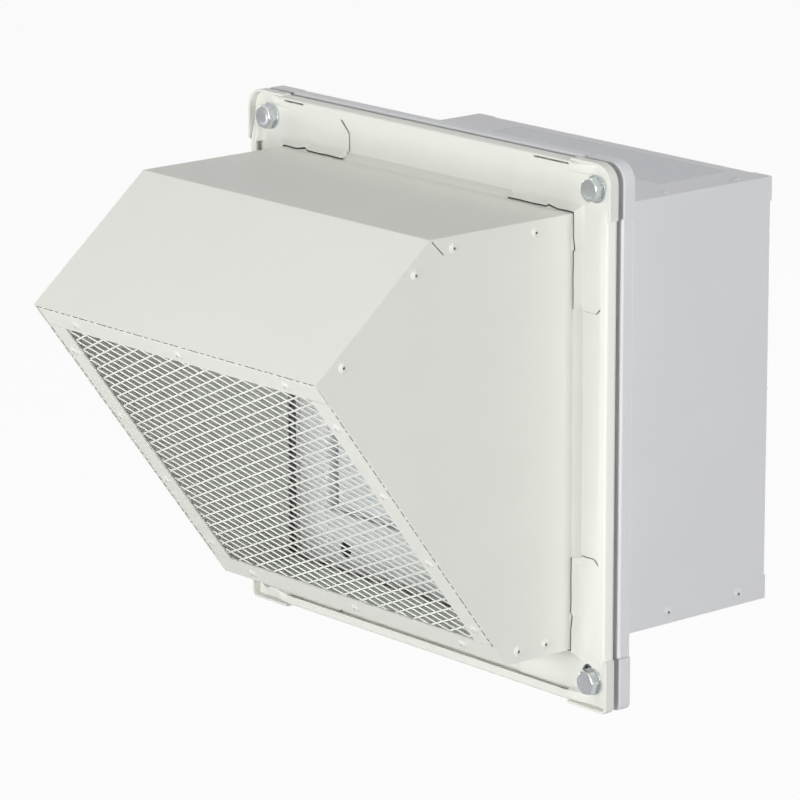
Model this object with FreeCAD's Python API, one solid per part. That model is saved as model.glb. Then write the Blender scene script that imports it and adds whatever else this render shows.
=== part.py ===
import FreeCAD, Part
import math
import os

V = FreeCAD.Vector

# A wall-mounted axial fan: a square sheet-metal casing that goes through the wall, a weather hood outside,
# a gravity damper between them and an external-rotor fan inside. All sizes are in millimetres.
# The origin is the middle of the wall plane, where the casing flange meets the outside of the wall.
# -Y points out of the wall to the hood, +Y into the wall, +X to the right seen from outside, +Z up.

# Sheet metal
SHEET = 1.0
BEND_IN = 1.5
TIGHT_BEND = 0.8
LAP = 14.0
FIT = 0.05
SEAT_GAP = 0.5
NEAR = 0.05

# Section, flanges and gasket
SECTION = 256.0
FLANGE_HEIGHT = 32.0
CASING_LIP = 9.5
HOOD_LIP = 7.0
SKIN_GAP = 2.0
EASY_BEND = 4.0
HEM = 4.5
LIP_INSET = 0.6
LIP_LEAN = 1.4
GASKET_THICK = 2.5
GASKET_WIDTH = 8.5
GASKET_INSET = 0.3

# Casing
CASING_REACH = 140.0
CASING_RETURN = 14.0
LAP_START = 26.0

# Hood
HOOD_TOP_REACH = 112.0
HOOD_NOSE_REACH = 193.5
HOOD_BOTTOM_REACH = 54.0
NOSE_DROP = 68.5
FLAP_END = 15.0
FLAP_FOLD_GAP = 11.0
FLAP_SLOPE_GAP = 3.3
FLAP_NOSE_GAP = 10.0
FLAP_LIP_GAP = 3.0
FOLD_SLIT_LENGTH = 12.0
FOLD_SLIT_WIDTH = 0.8
FOLD_SLIT_START = 2.0
FOLD_SLIT_ANGLE = 45.0
HEM_SLIT_RIGHT = 29.0
HEM_SLIT_LEFT = 18.0
HEM_SLIT_END_GAP = 1.5
HEM_SLIT_WIDTH = 1.1
HEM_SLIT_DROP = 3.6

# Mesh and its border
BORDER = 16.0
STRIP_LEG = 8.0
STRIP_BEND = 0.3
STRIP_GAP = 0.8
MESH_THICK = 1.2
MESH_EDGE = 4.0
MESH_LONG_PITCH = 26.0
MESH_SHORT_PITCH = 13.6
MESH_STRAND = 2.4

# Corner plates and flange bolts
CORNER_THICK = 1.5
CORNER_RADIUS = 12.0
LOWER_CORNER_RADIUS = 4.0
CORNER_EDGE = 1.2
CORNER_ARM = 56.0
CORNER_CHAMFER = 11.0
CORNER_ARM_EDGE = 5.6
CORNER_ARM_OVERLAP = 14.0
CORNER_SEAM = 0.1
CORNER_ARM_THICK = 1.0
BOLT_RADIUS = 4.0
BOLT_HOLE_GAP = 0.5
BOLT_SLOT_RUN = 6.5
BOLT_HEAD_FLATS = 13.0
BOLT_HEAD_HIGH = 5.3
BOLT_STAND_OUT = 9.4
NUT_HIGH = 4.0
HEX_BEVEL = 0.9
WASHER_RADIUS = 8.0
WASHER_THICK = 1.6

# Blind rivets
RIVET_SHANK = 1.6
RIVET_HEAD = 3.2
RIVET_HEAD_HIGH = 1.2
RIVET_BORE = 0.9
RIVET_TAIL = 2.5
RIVET_TAIL_LONG = 1.8
RIVET_INSET = 7.0
TOP_RIVET_BACK = 34.0
TOP_RIVET_FRONT = 17.0
SLOPE_RIVET_BACK = 20.0
SLOPE_RIVET_FRONT = 18.5
BOTTOM_RIVET_BACK = 25.0
BOTTOM_RIVET_FRONT = 8.0
CASING_RIVET_FRONT = 60.0
CASING_RIVET_BACK = 23.0
MESH_ROW_INSET = 9.6
MESH_ROW_PITCH = 95.0
MESH_COLUMN_START = 37.0
MESH_COLUMN_PITCH = 56.0
MESH_COLUMN_COUNT = 4
DAMPER_RIVET_Y = 5.0
DAMPER_RIVET_EDGE = 19.0

# Gravity damper
DAMPER_RECESS = 0.5
DAMPER_LEG = 20.0
DAMPER_RETURN = 15.0
DAMPER_SIDE_BORDER = 28.0
DAMPER_END_BORDER = 33.0
DRAIN_HOLE = 5.0
DRAIN_EDGE = 17.0
ROD_RADIUS = 2.0
ROD_DEPTH = 10.5
ROD_RUNNING_GAP = 0.08
ROD_OVERHANG = 2.5
KNUCKLE_WALL = 1.3
BLADE_THICK = 1.0
BLADE_COUNT = 3
BLADE_SIDE_GAP = 2.0
BLADE_END_GAP = 1.5
BLADE_LIP = 5.0
BLADE_HEAD_GAP = 1.6
KNUCKLE_SIDE_GAP = 4.0

# Fan panel and bell mouth
FAN_PANEL_INSET = 70.0
PANEL_EDGE_GAP = 3.0
ANGLE_LEG = 18.0
ANGLE_FOOT = 8.0
ANGLE_END_GAP = 22.0
RING_REACH = 32.0
BELL_COLLAR = 9.0
BELL_BEND = 8.0
BELL_LAND = 9.0
BELL_SIDE_ROOM = 24.0
TIP_GAP = 3.0

# Impeller
HUB_WALL = 3.0
HUB_LONG = 28.0
IMPELLER_LEAD = 16.0
FAN_BLADES = 5
FAN_BLADE_THICK = 2.2
ROOT_CHORD = 48.0
TIP_CHORD = 66.0
ROOT_ANGLE = 42.0
TIP_ANGLE = 24.0
CAMBER_RATIO = 0.07

# External-rotor motor
ROTOR_RADIUS = 46.0
ROTOR_WALL = 2.0
ROTOR_END = 3.0
ROTOR_LEAD = 34.0
ROTOR_LONG = 48.0
AIR_GAP = 0.5
SHAFT_RADIUS = 4.0
SHAFT_END_GAP = 1.0
BEARING_RADIUS = 11.0
BEARING_WIDE = 7.0
BEARING_INSET = 2.0
TUBE_WALL = 3.0
TUBE_GAP = 5.0
BASE_THICK = 8.0
BASE_RUNNING_GAP = 2.0
BASE_FLOOR = 3.0
CORE_LONG = 24.0
CORE_TEETH = 12
TOOTH_WIDE = 7.0
CORE_YOKE = 8.0
TOOTH_SHOE = 4.0
WINDING_HIGH = 6.0
WINDING_GAP = 1.0
WINDING_ROUND = 2.7

# Motor arms and screws
ARM_WIDE = 20.0
ARM_THICK = 3.0
ARM_SEAT_LONG = 28.0
ARM_BEND_GAP = 6.0
ARM_FOOT_GAP = 6.0
ARM_FOOT_LONG = 20.0
ARM_COUNT = 4
ARM_ANGLE = 45.0
SCREW_RADIUS = 2.5
SCREW_HEAD = 4.5
SCREW_HEAD_HIGH = 3.0
SCREW_CROWN_RATIO = 0.8
SCREW_BITE = 4.0
BASE_SCREW_INSET = 10.0

# Inlet guard
GUARD_WIRE = 1.5
GUARD_RIM_WIRE = 2.0
GUARD_SEAT = 4.0
GUARD_INNER_R = 28.0
GUARD_RING_PITCH = 18.0
GUARD_SPOKES = 8
WIRE_SIDES = 8
GUARD_SINK = 2.0
CLIP_WIDE = 14.0
CLIP_CAP = 2.2
CLIP_GAP = 0.3
CLIP_EDGE = 0.6
CLIP_SCREW = 1.6
CLIP_SCREW_HEAD = 3.2
CLIP_SCREW_HEAD_HIGH = 2.0
CLIP_SCREW_LONG = 6.0

# Terminal box, gland and motor lead
TERMINAL_DEEP = 26.0
TERMINAL_LONG = 40.0
TERMINAL_HIGH = 60.0
TERMINAL_GAP = 2.0
TERMINAL_WALL = 2.0
LID_THICK = 2.0
LID_POST = 4.0
LID_SCREW = 1.5
LID_SCREW_HEAD = 2.8
LID_SCREW_HEAD_HIGH = 1.6
LID_SCREW_LONG = 9.0
GLAND_RADIUS = 8.0
GLAND_FLATS = 19.0
GLAND_HEX_HIGH = 5.0
GLAND_DOME_HIGH = 9.0
GLAND_TIP_RADIUS = 5.6
GLAND_BORE = 3.5
LEAD_RADIUS = 3.0
LEAD_EXIT_R = 30.0
LEAD_RISE = 18.0
LEAD_BEND = 13.0

# Places worked out from the driving dimensions
ORIGIN = V(0, 0, 0)
X_AXIS = V(1, 0, 0)
Y_AXIS = V(0, 1, 0)
Z_AXIS = V(0, 0, 1)
HALF = SECTION / 2
INNER = HALF - SHEET
FLANGE_HALF = HALF + FLANGE_HEIGHT
CASING_FACE = -CASING_LIP
HOOD_FACE = CASING_FACE - GASKET_THICK
HOOD_SKIN = HOOD_FACE - HOOD_LIP
FOLD = V(0, HOOD_FACE - HOOD_TOP_REACH, HALF)
NOSE = V(0, HOOD_FACE - HOOD_NOSE_REACH, HALF - NOSE_DROP)
LOW = V(0, HOOD_FACE - HOOD_BOTTOM_REACH, -HALF)
MESH_LENGTH = (LOW - NOSE).Length
MESH_RUN = (LOW - NOSE).normalize()
SLOPE_LENGTH = (NOSE - FOLD).Length
SLOPE_RUN = (NOSE - FOLD).normalize()
SLOPE_IN = V(0, -SLOPE_RUN.z, SLOPE_RUN.y)
MESH_TILT = math.degrees(math.atan2(MESH_RUN.z, MESH_RUN.y))
BOLT_AT = HALF + FLANGE_HEIGHT / 2
BOLT_SEAT_Y = HOOD_FACE - SHEET - CORNER_ARM_THICK
CASING_CORNER_Y = CASING_FACE + SHEET
DAMPER_FACE = CASING_FACE + DAMPER_RECESS
ROD_Y = DAMPER_FACE + ROD_DEPTH
KNUCKLE_RADIUS = ROD_RADIUS + ROD_RUNNING_GAP + KNUCKLE_WALL
OPENING_HALF_WIDE = INNER - DAMPER_SIDE_BORDER
OPENING_HALF_HIGH = INNER - DAMPER_END_BORDER
BLADE_PITCH = (2 * OPENING_HALF_HIGH - BLADE_HEAD_GAP) / BLADE_COUNT
FAN_PANEL_Y = CASING_REACH - FAN_PANEL_INSET
RING_RADIUS = INNER - BELL_SIDE_ROOM
BELL_LAND_R = RING_RADIUS + BELL_BEND + SHEET + BELL_LAND
FAN_RADIUS = RING_RADIUS - TIP_GAP
IMPELLER_Y = FAN_PANEL_Y - IMPELLER_LEAD
ROTOR_START = FAN_PANEL_Y - ROTOR_LEAD
HUB_IN = ROTOR_RADIUS + FIT
HUB_OUT = HUB_IN + HUB_WALL
BASE_START = ROTOR_START + ROTOR_LONG + BASE_RUNNING_GAP
BASE_END = BASE_START + BASE_THICK
SHAFT_END = BASE_END - BASE_FLOOR - SHAFT_END_GAP
TUBE_START = ROTOR_START + ROTOR_END + TUBE_GAP
TUBE_OUT = BEARING_RADIUS + FIT + TUBE_WALL
CORE_IN = TUBE_OUT + FIT
CORE_OUT = ROTOR_RADIUS - ROTOR_WALL - AIR_GAP
CORE_START = ROTOR_START + (ROTOR_LONG - CORE_LONG) / 2
ARM_BEND_OUT = ROTOR_RADIUS + ARM_BEND_GAP
ARM_SEAT_IN = ARM_BEND_OUT - ARM_SEAT_LONG
ARM_FOOT_IN = BELL_LAND_R + ARM_FOOT_GAP
ARM_FOOT_OUT = ARM_FOOT_IN + ARM_FOOT_LONG
BASE_SCREW_R = ROTOR_RADIUS - BASE_SCREW_INSET
FOOT_SCREW_R = (ARM_FOOT_IN + ARM_FOOT_OUT) / 2
GUARD_Y = CASING_REACH - SHEET - GUARD_RIM_WIRE
GUARD_RIM_R = HALF - CASING_RETURN + GUARD_SEAT
GUARD_RINGS = int((GUARD_RIM_R - GUARD_INNER_R) / GUARD_RING_PITCH + NEAR)
TERMINAL_Y = FAN_PANEL_Y + ANGLE_LEG + TERMINAL_GAP
SIDES = ("top", "right", "bottom", "left")
TURNS = {side: k * 360 / len(SIDES) for k, side in enumerate(SIDES)}


def box(low, high):
    """A box between two corners."""
    return Part.makeBox(high[0] - low[0], high[1] - low[1], high[2] - low[2], V(*low))


def rod(radius, start, end):
    """A round bar between two points."""
    return Part.makeCylinder(radius, (end - start).Length, start, end - start)


def ring(outer, inner, start, length):
    """A ring about the Y axis."""
    begin = V(0, start, 0)
    end = V(0, start + length, 0)
    return rod(outer, begin, end).cut(rod(inner, begin, end))


def turned(shape, angle, axis=Y_AXIS):
    """A copy of a shape turned about an axis through the origin."""
    copy = shape.copy()
    copy.rotate(ORIGIN, axis, angle)
    return copy


def placed(shape, point, direction):
    """A copy of a shape with its +Z along direction and its origin at point."""
    copy = shape.copy()
    copy.Placement = FreeCAD.Placement(point, FreeCAD.Rotation(Z_AXIS, direction))
    return copy


def mirrored(shape):
    """A right-hand piece as its left-hand twin."""
    return shape.mirror(ORIGIN, X_AXIS)


def on_mesh(shape):
    """Move a shape drawn flat, with Y down the slope and Z inwards, onto the mesh plane."""
    copy = turned(shape, MESH_TILT, X_AXIS)
    copy.translate(NOSE)
    return copy


def fused(shapes):
    """One solid from several."""
    whole = shapes[0].multiFuse(shapes[1:]).removeSplitter()
    return whole.Solids[0] if len(whole.Solids) == 1 else whole


def rounded_face(corners):
    """A flat face from (point, radius) corners, each rounded by an arc."""
    arcs = []
    for i, (point, radius) in enumerate(corners):
        before = (corners[i - 1][0] - point).normalize()
        after = (corners[(i + 1) % len(corners)][0] - point).normalize()
        if radius <= 0:
            arcs.append((point, None, point))
            continue
        half = before.getAngle(after) / 2
        run = radius / math.tan(half)
        middle = point + (before + after).normalize() * (radius / math.sin(half) - radius)
        arcs.append((point + before * run, middle, point + after * run))
    edges = []
    for i, (start, middle, end) in enumerate(arcs):
        if middle:
            edges.append(Part.Arc(start, middle, end).toShape())
        following = arcs[(i + 1) % len(arcs)][0]
        edges.append(Part.makeLine(end, following))
    return Part.Face(Part.Wire(edges))


def bent_face(path, thickness, bend_in=BEND_IN):
    """Section, in the YZ plane, of a sheet along path, with its thickness on the left if positive."""
    points = [V(0, y, z) for y, z in path]
    steps = [(b - a).normalize() for a, b in zip(points, points[1:])]
    lefts = [V(0, -step.z, step.y) for step in steps]
    near = []
    far = []
    last = len(points) - 1
    for i, point in enumerate(points):
        if i in (0, last):
            shift = lefts[0] if i == 0 else lefts[-1]
            radii = (0, 0)
        else:
            shift = (lefts[i - 1] + lefts[i]) * (1 / (1 + lefts[i - 1].dot(lefts[i])))
            turn = steps[i - 1].cross(steps[i]).x
            wide = bend_in + abs(thickness)
            radii = (wide, bend_in) if turn * thickness > 0 else (bend_in, wide)
        near.append((point, radii[0]))
        far.append((point + shift * thickness, radii[1]))
    return rounded_face(near + far[::-1])


def along_x(face, start, end):
    """A face in the YZ plane pulled along X."""
    face = face.copy()
    face.translate(V(start, 0, 0))
    return face.extrude(V(end - start, 0, 0))


def plate_yz(points, start, end):
    """A flat plate with corners in the YZ plane, between two X places."""
    corners = [V(0, point.y, point.z) for point in points]
    return along_x(Part.Face(Part.makePolygon(corners + corners[:1])), start, end)


def hexagon(flats, start, direction, high):
    """A hexagon head or nut with its outer edge bevelled."""
    corner = flats / math.sqrt(3)
    points = [V(corner * math.cos(k * math.pi / 3), corner * math.sin(k * math.pi / 3), 0) for k in range(7)]
    prism = Part.Face(Part.makePolygon(points)).extrude(V(0, 0, high))
    body = Part.makeCylinder(corner, high - HEX_BEVEL)
    body = body.fuse(Part.makeCone(corner, corner - 2 * HEX_BEVEL, HEX_BEVEL, V(0, 0, high - HEX_BEVEL)))
    return placed(prism.common(body), start, direction)


def rivet(point, outward, grip):
    """A blind rivet whose head sits on point, with its tail behind the gripped sheets."""
    tail = -grip - RIVET_TAIL_LONG
    profile = [(RIVET_HEAD, 0), (RIVET_SHANK, 0), (RIVET_SHANK, -grip), (RIVET_TAIL, -grip)]
    profile += [(RIVET_TAIL, tail), (RIVET_BORE, tail)]
    sphere = (RIVET_HEAD ** 2 + RIVET_HEAD_HIGH ** 2) / (2 * RIVET_HEAD_HIGH)

    def on_dome(radius):
        return V(radius, 0, math.sqrt(sphere ** 2 - radius ** 2) - sphere + RIVET_HEAD_HIGH)

    points = [V(r, 0, z) for r, z in profile] + [on_dome(RIVET_BORE)]
    dome = Part.Arc(points[-1], on_dome((RIVET_BORE + RIVET_HEAD) / 2), points[0]).toShape()
    outline = Part.Wire(Part.makePolygon(points).Edges + [dome])
    return placed(Part.Face(outline).revolve(ORIGIN, Z_AXIS, 360), point, outward)


def rivet_hole(point, outward, grip):
    """The hole that a rivet's shank goes through."""
    reach = outward * (grip + RIVET_TAIL_LONG)
    return rod(RIVET_SHANK + FIT, point + outward * RIVET_HEAD_HIGH, point - reach)


def screw(point, outward, radius, head, head_high, length):
    """A pan-head screw with its head on point."""
    body = rod(radius, point, point - outward * length)
    crown = placed(Part.makeCone(head, head * SCREW_CROWN_RATIO, head_high), point, outward)
    return body.fuse(crown).removeSplitter()


def casing_flange():
    """The flange part of the casing top's path: up the leg, over the lip and down the skin on the wall."""
    leg = CASING_FACE + SHEET
    rim = FLANGE_HALF - SHEET
    return [(leg, HALF), (leg, rim), (-SHEET, rim), (-SHEET, HALF + SKIN_GAP)]


def hood_flange():
    """The flange part of the hood top's path: an easy bend into the leg, then the leaning lip and its hem."""
    leg = HOOD_FACE - SHEET
    front = HOOD_SKIN + SHEET
    rim = FLANGE_HALF - SHEET - LIP_INSET
    edge = rim - LIP_LEAN
    return [(leg - EASY_BEND, HALF), (leg, HALF + EASY_BEND), (leg, rim), (front, edge), (front, edge - HEM)]


def casing_rivet_places():
    """Rivet places on a top panel's lap: near its right edge, at the set depths."""
    depths = (CASING_RIVET_FRONT, CASING_REACH - CASING_RIVET_BACK)
    return [V(HALF - RIVET_INSET, y, HALF) for y in depths]


def damper_rivet_places():
    """Rivet places on a top panel where the damper frame's leg lies behind it."""
    across = OPENING_HALF_WIDE - DAMPER_RIVET_EDGE
    return [V(x, DAMPER_RIVET_Y, HALF) for x in (-across, across)]


def guard_screw_place():
    """Where a clip screw goes through a top panel's rear return."""
    height = (GUARD_RIM_R + GUARD_RIM_WIRE + INNER - BEND_IN) / 2
    return V(0, CASING_REACH, height)


def casing_panel():
    """The top panel of the casing: flange, wall, rear return and the lap under its left neighbour."""
    path = [(CASING_REACH, HALF - CASING_RETURN), (CASING_REACH, HALF)]
    path += casing_flange()
    wall = along_x(bent_face(path, SHEET, TIGHT_BEND), -INNER, HALF)
    corner_cut = CASING_RETURN + SEAT_GAP
    edge = CASING_REACH - BEND_IN - SHEET
    pieces = [wall]
    for low, high in ((-INNER, -HALF + corner_cut), (HALF - corner_cut, HALF)):
        pieces[0] = pieces[0].cut(box((low, edge, 0), (high, CASING_REACH, HALF)))
        pieces.append(box((low, edge, INNER), (high, CASING_REACH, HALF)))
    lap_end = CASING_REACH - CASING_RETURN
    pieces.append(box((-INNER, LAP_START, INNER - LAP), (-INNER + SHEET, lap_end, INNER)))
    panel = fused(pieces)
    holes = [rivet_hole(point, Z_AXIS, 2 * SHEET) for point in casing_rivet_places() + damper_rivet_places()]
    holes += [turned(rivet_hole(point, Z_AXIS, 2 * SHEET), -90) for point in casing_rivet_places()]
    screw_at = guard_screw_place()
    holes.append(rod(CLIP_SCREW + FIT, screw_at, screw_at - Y_AXIS * CLIP_SCREW_LONG))
    return panel.cut(Part.makeCompound(holes))


def side_rivet_places():
    """Rivet places on the right side of the hood, as points on its outer face."""
    top = (HOOD_FACE - TOP_RIVET_BACK, FOLD.y + TOP_RIVET_FRONT)
    slope = (SLOPE_RIVET_BACK, SLOPE_LENGTH - SLOPE_RIVET_FRONT)
    bottom = (HOOD_FACE - BOTTOM_RIVET_BACK, LOW.y + BOTTOM_RIVET_FRONT)
    places = [V(HALF, y, HALF - RIVET_INSET) for y in top]
    places += [V(HALF, 0, 0) + FOLD + SLOPE_RUN * s + SLOPE_IN * RIVET_INSET for s in slope]
    places += [V(HALF, y, RIVET_INSET - HALF) for y in bottom]
    return places


def both_sides(points):
    """Points on the right side with their mirror images on the left, each with its outward direction."""
    pairs = [(point, X_AXIS) for point in points]
    return pairs + [(V(-point.x, point.y, point.z), -X_AXIS) for point in points]


def side_rivet_holes():
    """Holes for the rivets on both sides of the hood."""
    return Part.makeCompound([rivet_hole(p, out, 2 * SHEET) for p, out in both_sides(side_rivet_places())])


def mesh_rivet_places():
    """Rivet places on the mesh border, as points with X across and Y down the slope."""
    rows = (MESH_ROW_INSET, MESH_LENGTH - BORDER / 2)
    places = [V(k * MESH_ROW_PITCH, s, 0) for s in rows for k in (-1, 0, 1)]
    column = INNER - BORDER / 2
    for k in range(MESH_COLUMN_COUNT):
        down = MESH_COLUMN_START + k * MESH_COLUMN_PITCH
        places += [V(side * column, down, 0) for side in (-1, 1)]
    return places


def mesh_rivet_holes():
    """Holes for the mesh rivets, in place."""
    holes = [rivet_hole(point, -Z_AXIS, SHEET + MESH_THICK) for point in mesh_rivet_places()]
    return on_mesh(Part.makeCompound(holes))


def hem_slits():
    """Two open slits in the hem of the canopy's flange, just below its outer bend."""
    middle = FLANGE_HALF - HEM_SLIT_DROP
    low = middle - HEM_SLIT_WIDTH / 2
    high = middle + HEM_SLIT_WIDTH / 2
    end = INNER - HEM_SLIT_END_GAP
    spans = ((-end, HEM_SLIT_LEFT - end), (end - HEM_SLIT_RIGHT, end))
    front = HOOD_SKIN - SHEET
    back = HOOD_SKIN + 2 * SHEET
    return Part.makeCompound([box((start, front, low), (stop, back, high)) for start, stop in spans])


def hood_canopy():
    """Top and sloped front of the hood in one sheet, with its flange and side flaps."""
    path = [(point.y, point.z) for point in (NOSE, FOLD)]
    path += hood_flange()
    pieces = [along_x(bent_face(path, -SHEET, TIGHT_BEND), -INNER, INNER)]
    back = HOOD_FACE - FLAP_END
    front = FOLD.y + FLAP_FOLD_GAP
    near = FOLD + SLOPE_RUN * FLAP_SLOPE_GAP + SLOPE_IN * SHEET
    far = NOSE - SLOPE_RUN * FLAP_NOSE_GAP + SLOPE_IN * SHEET
    slope_flap = [near, far, far + SLOPE_IN * LAP, near + SLOPE_IN * LAP]
    for start in (-INNER, INNER - SHEET):
        pieces.append(box((start, front, INNER - LAP), (start + SHEET, back, INNER)))
        pieces.append(plate_yz(slope_flap, start, start + SHEET))
    return fused(pieces).cut(side_rivet_holes()).cut(hem_slits())


def hood_bottom():
    """The short bottom of the hood, with its flange, front lip and side flaps."""
    lip_end = LOW - MESH_RUN * BORDER
    path = [(lip_end.y, lip_end.z), (LOW.y, LOW.z)]
    path += [(y, -z) for y, z in hood_flange()]
    pieces = [along_x(bent_face(path, SHEET, TIGHT_BEND), -INNER, INNER)]
    front = LOW.y + FLAP_LIP_GAP
    back = HOOD_FACE - FLAP_END
    for start in (-INNER, INNER - SHEET):
        pieces.append(box((start, front, -INNER), (start + SHEET, back, LAP - INNER)))
    return fused(pieces).cut(side_rivet_holes()).cut(mesh_rivet_holes())


def hood_side():
    """The right side of the hood with its flange and the short slit at the fold."""
    stub = HOOD_FACE - FLAP_END
    strip_path = [(stub, HALF)] + hood_flange()
    strip = along_x(bent_face(strip_path, -SHEET, TIGHT_BEND), -HALF, HALF)
    strip = turned(strip, TURNS["right"])
    outline = [V(0, stub, -HALF), V(0, stub, HALF), FOLD, NOSE, LOW]
    side = fused([strip, plate_yz(outline, INNER, HALF)])
    slit = box((INNER - SHEET, FOLD_SLIT_START, -FOLD_SLIT_WIDTH / 2),
               (HALF + SHEET, FOLD_SLIT_START + FOLD_SLIT_LENGTH, FOLD_SLIT_WIDTH / 2))
    slit = turned(slit, -FOLD_SLIT_ANGLE, X_AXIS)
    slit.translate(FOLD)
    return side.cut(slit).cut(side_rivet_holes())


def mesh_strip():
    """The right border angle: one leg in the mesh plane, one against the side of the hood."""
    start = BORDER + SEAT_GAP
    end = MESH_LENGTH - BORDER - SEAT_GAP
    side = INNER - STRIP_GAP
    face = box((INNER - BORDER, start, 0), (side, end, SHEET))
    leg = box((side - SHEET, start, 0), (side, end, STRIP_LEG))
    angle = fused([face, leg])
    bend = [edge for edge in angle.Edges if edge.BoundBox.XMin > side - NEAR and edge.BoundBox.ZMax < NEAR]
    return on_mesh(angle.makeFillet(STRIP_BEND + SHEET, bend)).cut(mesh_rivet_holes())


def mesh_strip_top():
    """The top border angle: one leg in the mesh plane, one against the inside of the sloped front."""
    corner = NOSE + MESH_RUN * ((SHEET + STRIP_GAP) / MESH_RUN.dot(SLOPE_IN))
    ends = (NOSE + MESH_RUN * BORDER, corner, corner - SLOPE_RUN * STRIP_LEG)
    path = [(point.y, point.z) for point in ends]
    half = INNER - STRIP_GAP
    return along_x(bent_face(path, -SHEET, STRIP_BEND), -half, half).cut(mesh_rivet_holes())


def bird_mesh():
    """Expanded-metal mesh drawn coarse: one holed plate behind the border."""
    half = INNER - MESH_EDGE
    outer = [V(-half, MESH_EDGE, 0), V(half, MESH_EDGE, 0)]
    outer += [V(half, MESH_LENGTH - MESH_EDGE, 0), V(-half, MESH_LENGTH - MESH_EDGE, 0)]
    wires = [Part.makePolygon(outer + outer[:1])]
    gap_half = MESH_LONG_PITCH / 2 - MESH_STRAND
    gap_high = MESH_SHORT_PITCH / 2 - MESH_STRAND / 2
    reach_x = INNER - BORDER
    reach_s = MESH_LENGTH / 2 - BORDER
    rows = int((reach_s - gap_high) / (MESH_SHORT_PITCH / 2))
    columns = int(2 * reach_x / MESH_LONG_PITCH) + 1
    for row in range(-rows, rows + 1):
        middle = MESH_LENGTH / 2 + row * MESH_SHORT_PITCH / 2
        for column in range(-columns, columns + 1):
            across = (column + row % 2 / 2) * MESH_LONG_PITCH
            if abs(across) + gap_half > reach_x:
                continue
            points = [V(across - gap_half, middle, 0), V(across, middle - gap_high, 0)]
            points += [V(across + gap_half, middle, 0), V(across, middle + gap_high, 0)]
            wires.append(Part.makePolygon(points + points[:1]))
    net = Part.makeFace(wires, "Part::FaceMakerBullseye").extrude(V(0, 0, MESH_THICK))
    net.translate(V(0, 0, SHEET))
    return on_mesh(net).cut(mesh_rivet_holes())


def gasket():
    """Four strips of gasket tape between the two flanges, just outside the section."""
    inside = HALF + GASKET_INSET
    outside = inside + GASKET_WIDTH
    strips = []
    for end in (-1, 1):
        low, high = sorted((end * inside, end * outside))
        strips.append(box((-outside, HOOD_FACE, low), (outside, CASING_FACE, high)))
        strips.append(box((low, HOOD_FACE, -inside), (high, CASING_FACE, inside)))
    return Part.makeCompound(strips)


def corner_outline(inset, across, up, radius):
    """The corner field from its inner edges out, with its outer corner rounded, drawn in the XZ plane."""
    high = FLANGE_HALF - inset
    corners = [(V(across, 0, up), 0), (V(high, 0, up), 0)]
    corners += [(V(high, 0, high), radius - inset), (V(across, 0, high), 0)]
    return rounded_face(corners)


def corner_shell(face, rim_end, thick, across, up, radius):
    """The pressed field and rim of the corner plate at the top right, the outer edge of the field rounded."""
    rise = V(0, rim_end - face, 0)
    block = corner_outline(0, across, up, radius).extrude(rise)
    hollow = corner_outline(CORNER_THICK, across, up, radius).extrude(rise)
    block.translate(V(0, face, 0))
    hollow.translate(V(0, face, 0) + rise.normalize() * thick)
    shell = block.cut(hollow)
    rim = FLANGE_HALF - radius - SEAT_GAP
    sizes = [edge.BoundBox for edge in shell.Edges]
    rim_edges = [edge for edge, size in zip(shell.Edges, sizes)
                 if max(abs(size.YMax - face), abs(size.YMin - face)) < NEAR
                 and max(size.XMin, size.ZMin) > rim and max(size.XMax, size.ZMax) > FLANGE_HALF - NEAR]
    return shell.makeFillet(CORNER_EDGE, rim_edges)


def corner_arm(face, thick, inside):
    """The arm of the corner plate on the top strip's leg, its tip cut at an angle."""
    outside = FLANGE_HALF - CORNER_ARM_EDGE
    tip = HALF - CORNER_ARM
    root = inside + CORNER_ARM_OVERLAP
    points = [V(tip, face, inside), V(root, face, inside), V(root, face, outside)]
    points += [V(tip + CORNER_CHAMFER, face, outside), V(tip, face, outside - CORNER_CHAMFER)]
    return Part.Face(Part.makePolygon(points + points[:1])).extrude(V(0, thick, 0))


def bolt_opening(face, run):
    """The bolt's hole in the top right corner plate, lengthened towards the middle when it has a run."""
    through = V(0, 4 * CORNER_THICK, 0)
    radius = BOLT_RADIUS + BOLT_HOLE_GAP
    bolt = V(BOLT_AT, face - CORNER_THICK, BOLT_AT)
    if run == 0:
        return rod(radius, bolt, bolt + through)
    end = bolt - V(1, 0, 1).normalize() * run
    side = V(1, 0, -1).normalize() * radius
    slot = Part.Face(Part.makePolygon([bolt + side, bolt - side, end - side, end + side, bolt + side]))
    ends = [rod(radius, point, point + through) for point in (bolt, end)]
    return slot.extrude(through).multiFuse(ends)


def corner_plates(face, rim_end, thick, arm, across, up):
    """Four corner plates: the upper two well rounded, the lower two nearly square and with slotted holes."""
    arms = [arm, arm.mirror(ORIGIN, V(1, 0, -1))]
    plates = []
    for radius, run in ((CORNER_RADIUS, 0), (LOWER_CORNER_RADIUS, BOLT_SLOT_RUN)):
        plate = fused([corner_shell(face, rim_end, thick, across, up, radius)] + arms)
        plates.append(plate.cut(bolt_opening(min(face, face - thick), run)))
    upper, lower = plates
    lower = lower.mirror(ORIGIN, Z_AXIS)
    return Part.makeCompound([upper, mirrored(upper), lower, mirrored(lower)])


def four_corners(shape):
    """A shape at the top right corner, turned to all four corners."""
    return Part.makeCompound([turned(shape, angle) for angle in TURNS.values()])


def hood_corners():
    """The hood's corner plates: trays between the flange strips, with arms that lie on the strips' legs."""
    across = INNER + CORNER_SEAM
    up = HALF + CORNER_SEAM
    arm = corner_arm(BOLT_SEAT_Y, CORNER_ARM_THICK, HALF + EASY_BEND + SEAT_GAP)
    return corner_plates(HOOD_FACE, HOOD_SKIN, HOOD_FACE - BOLT_SEAT_Y, arm, across, up)


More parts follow.
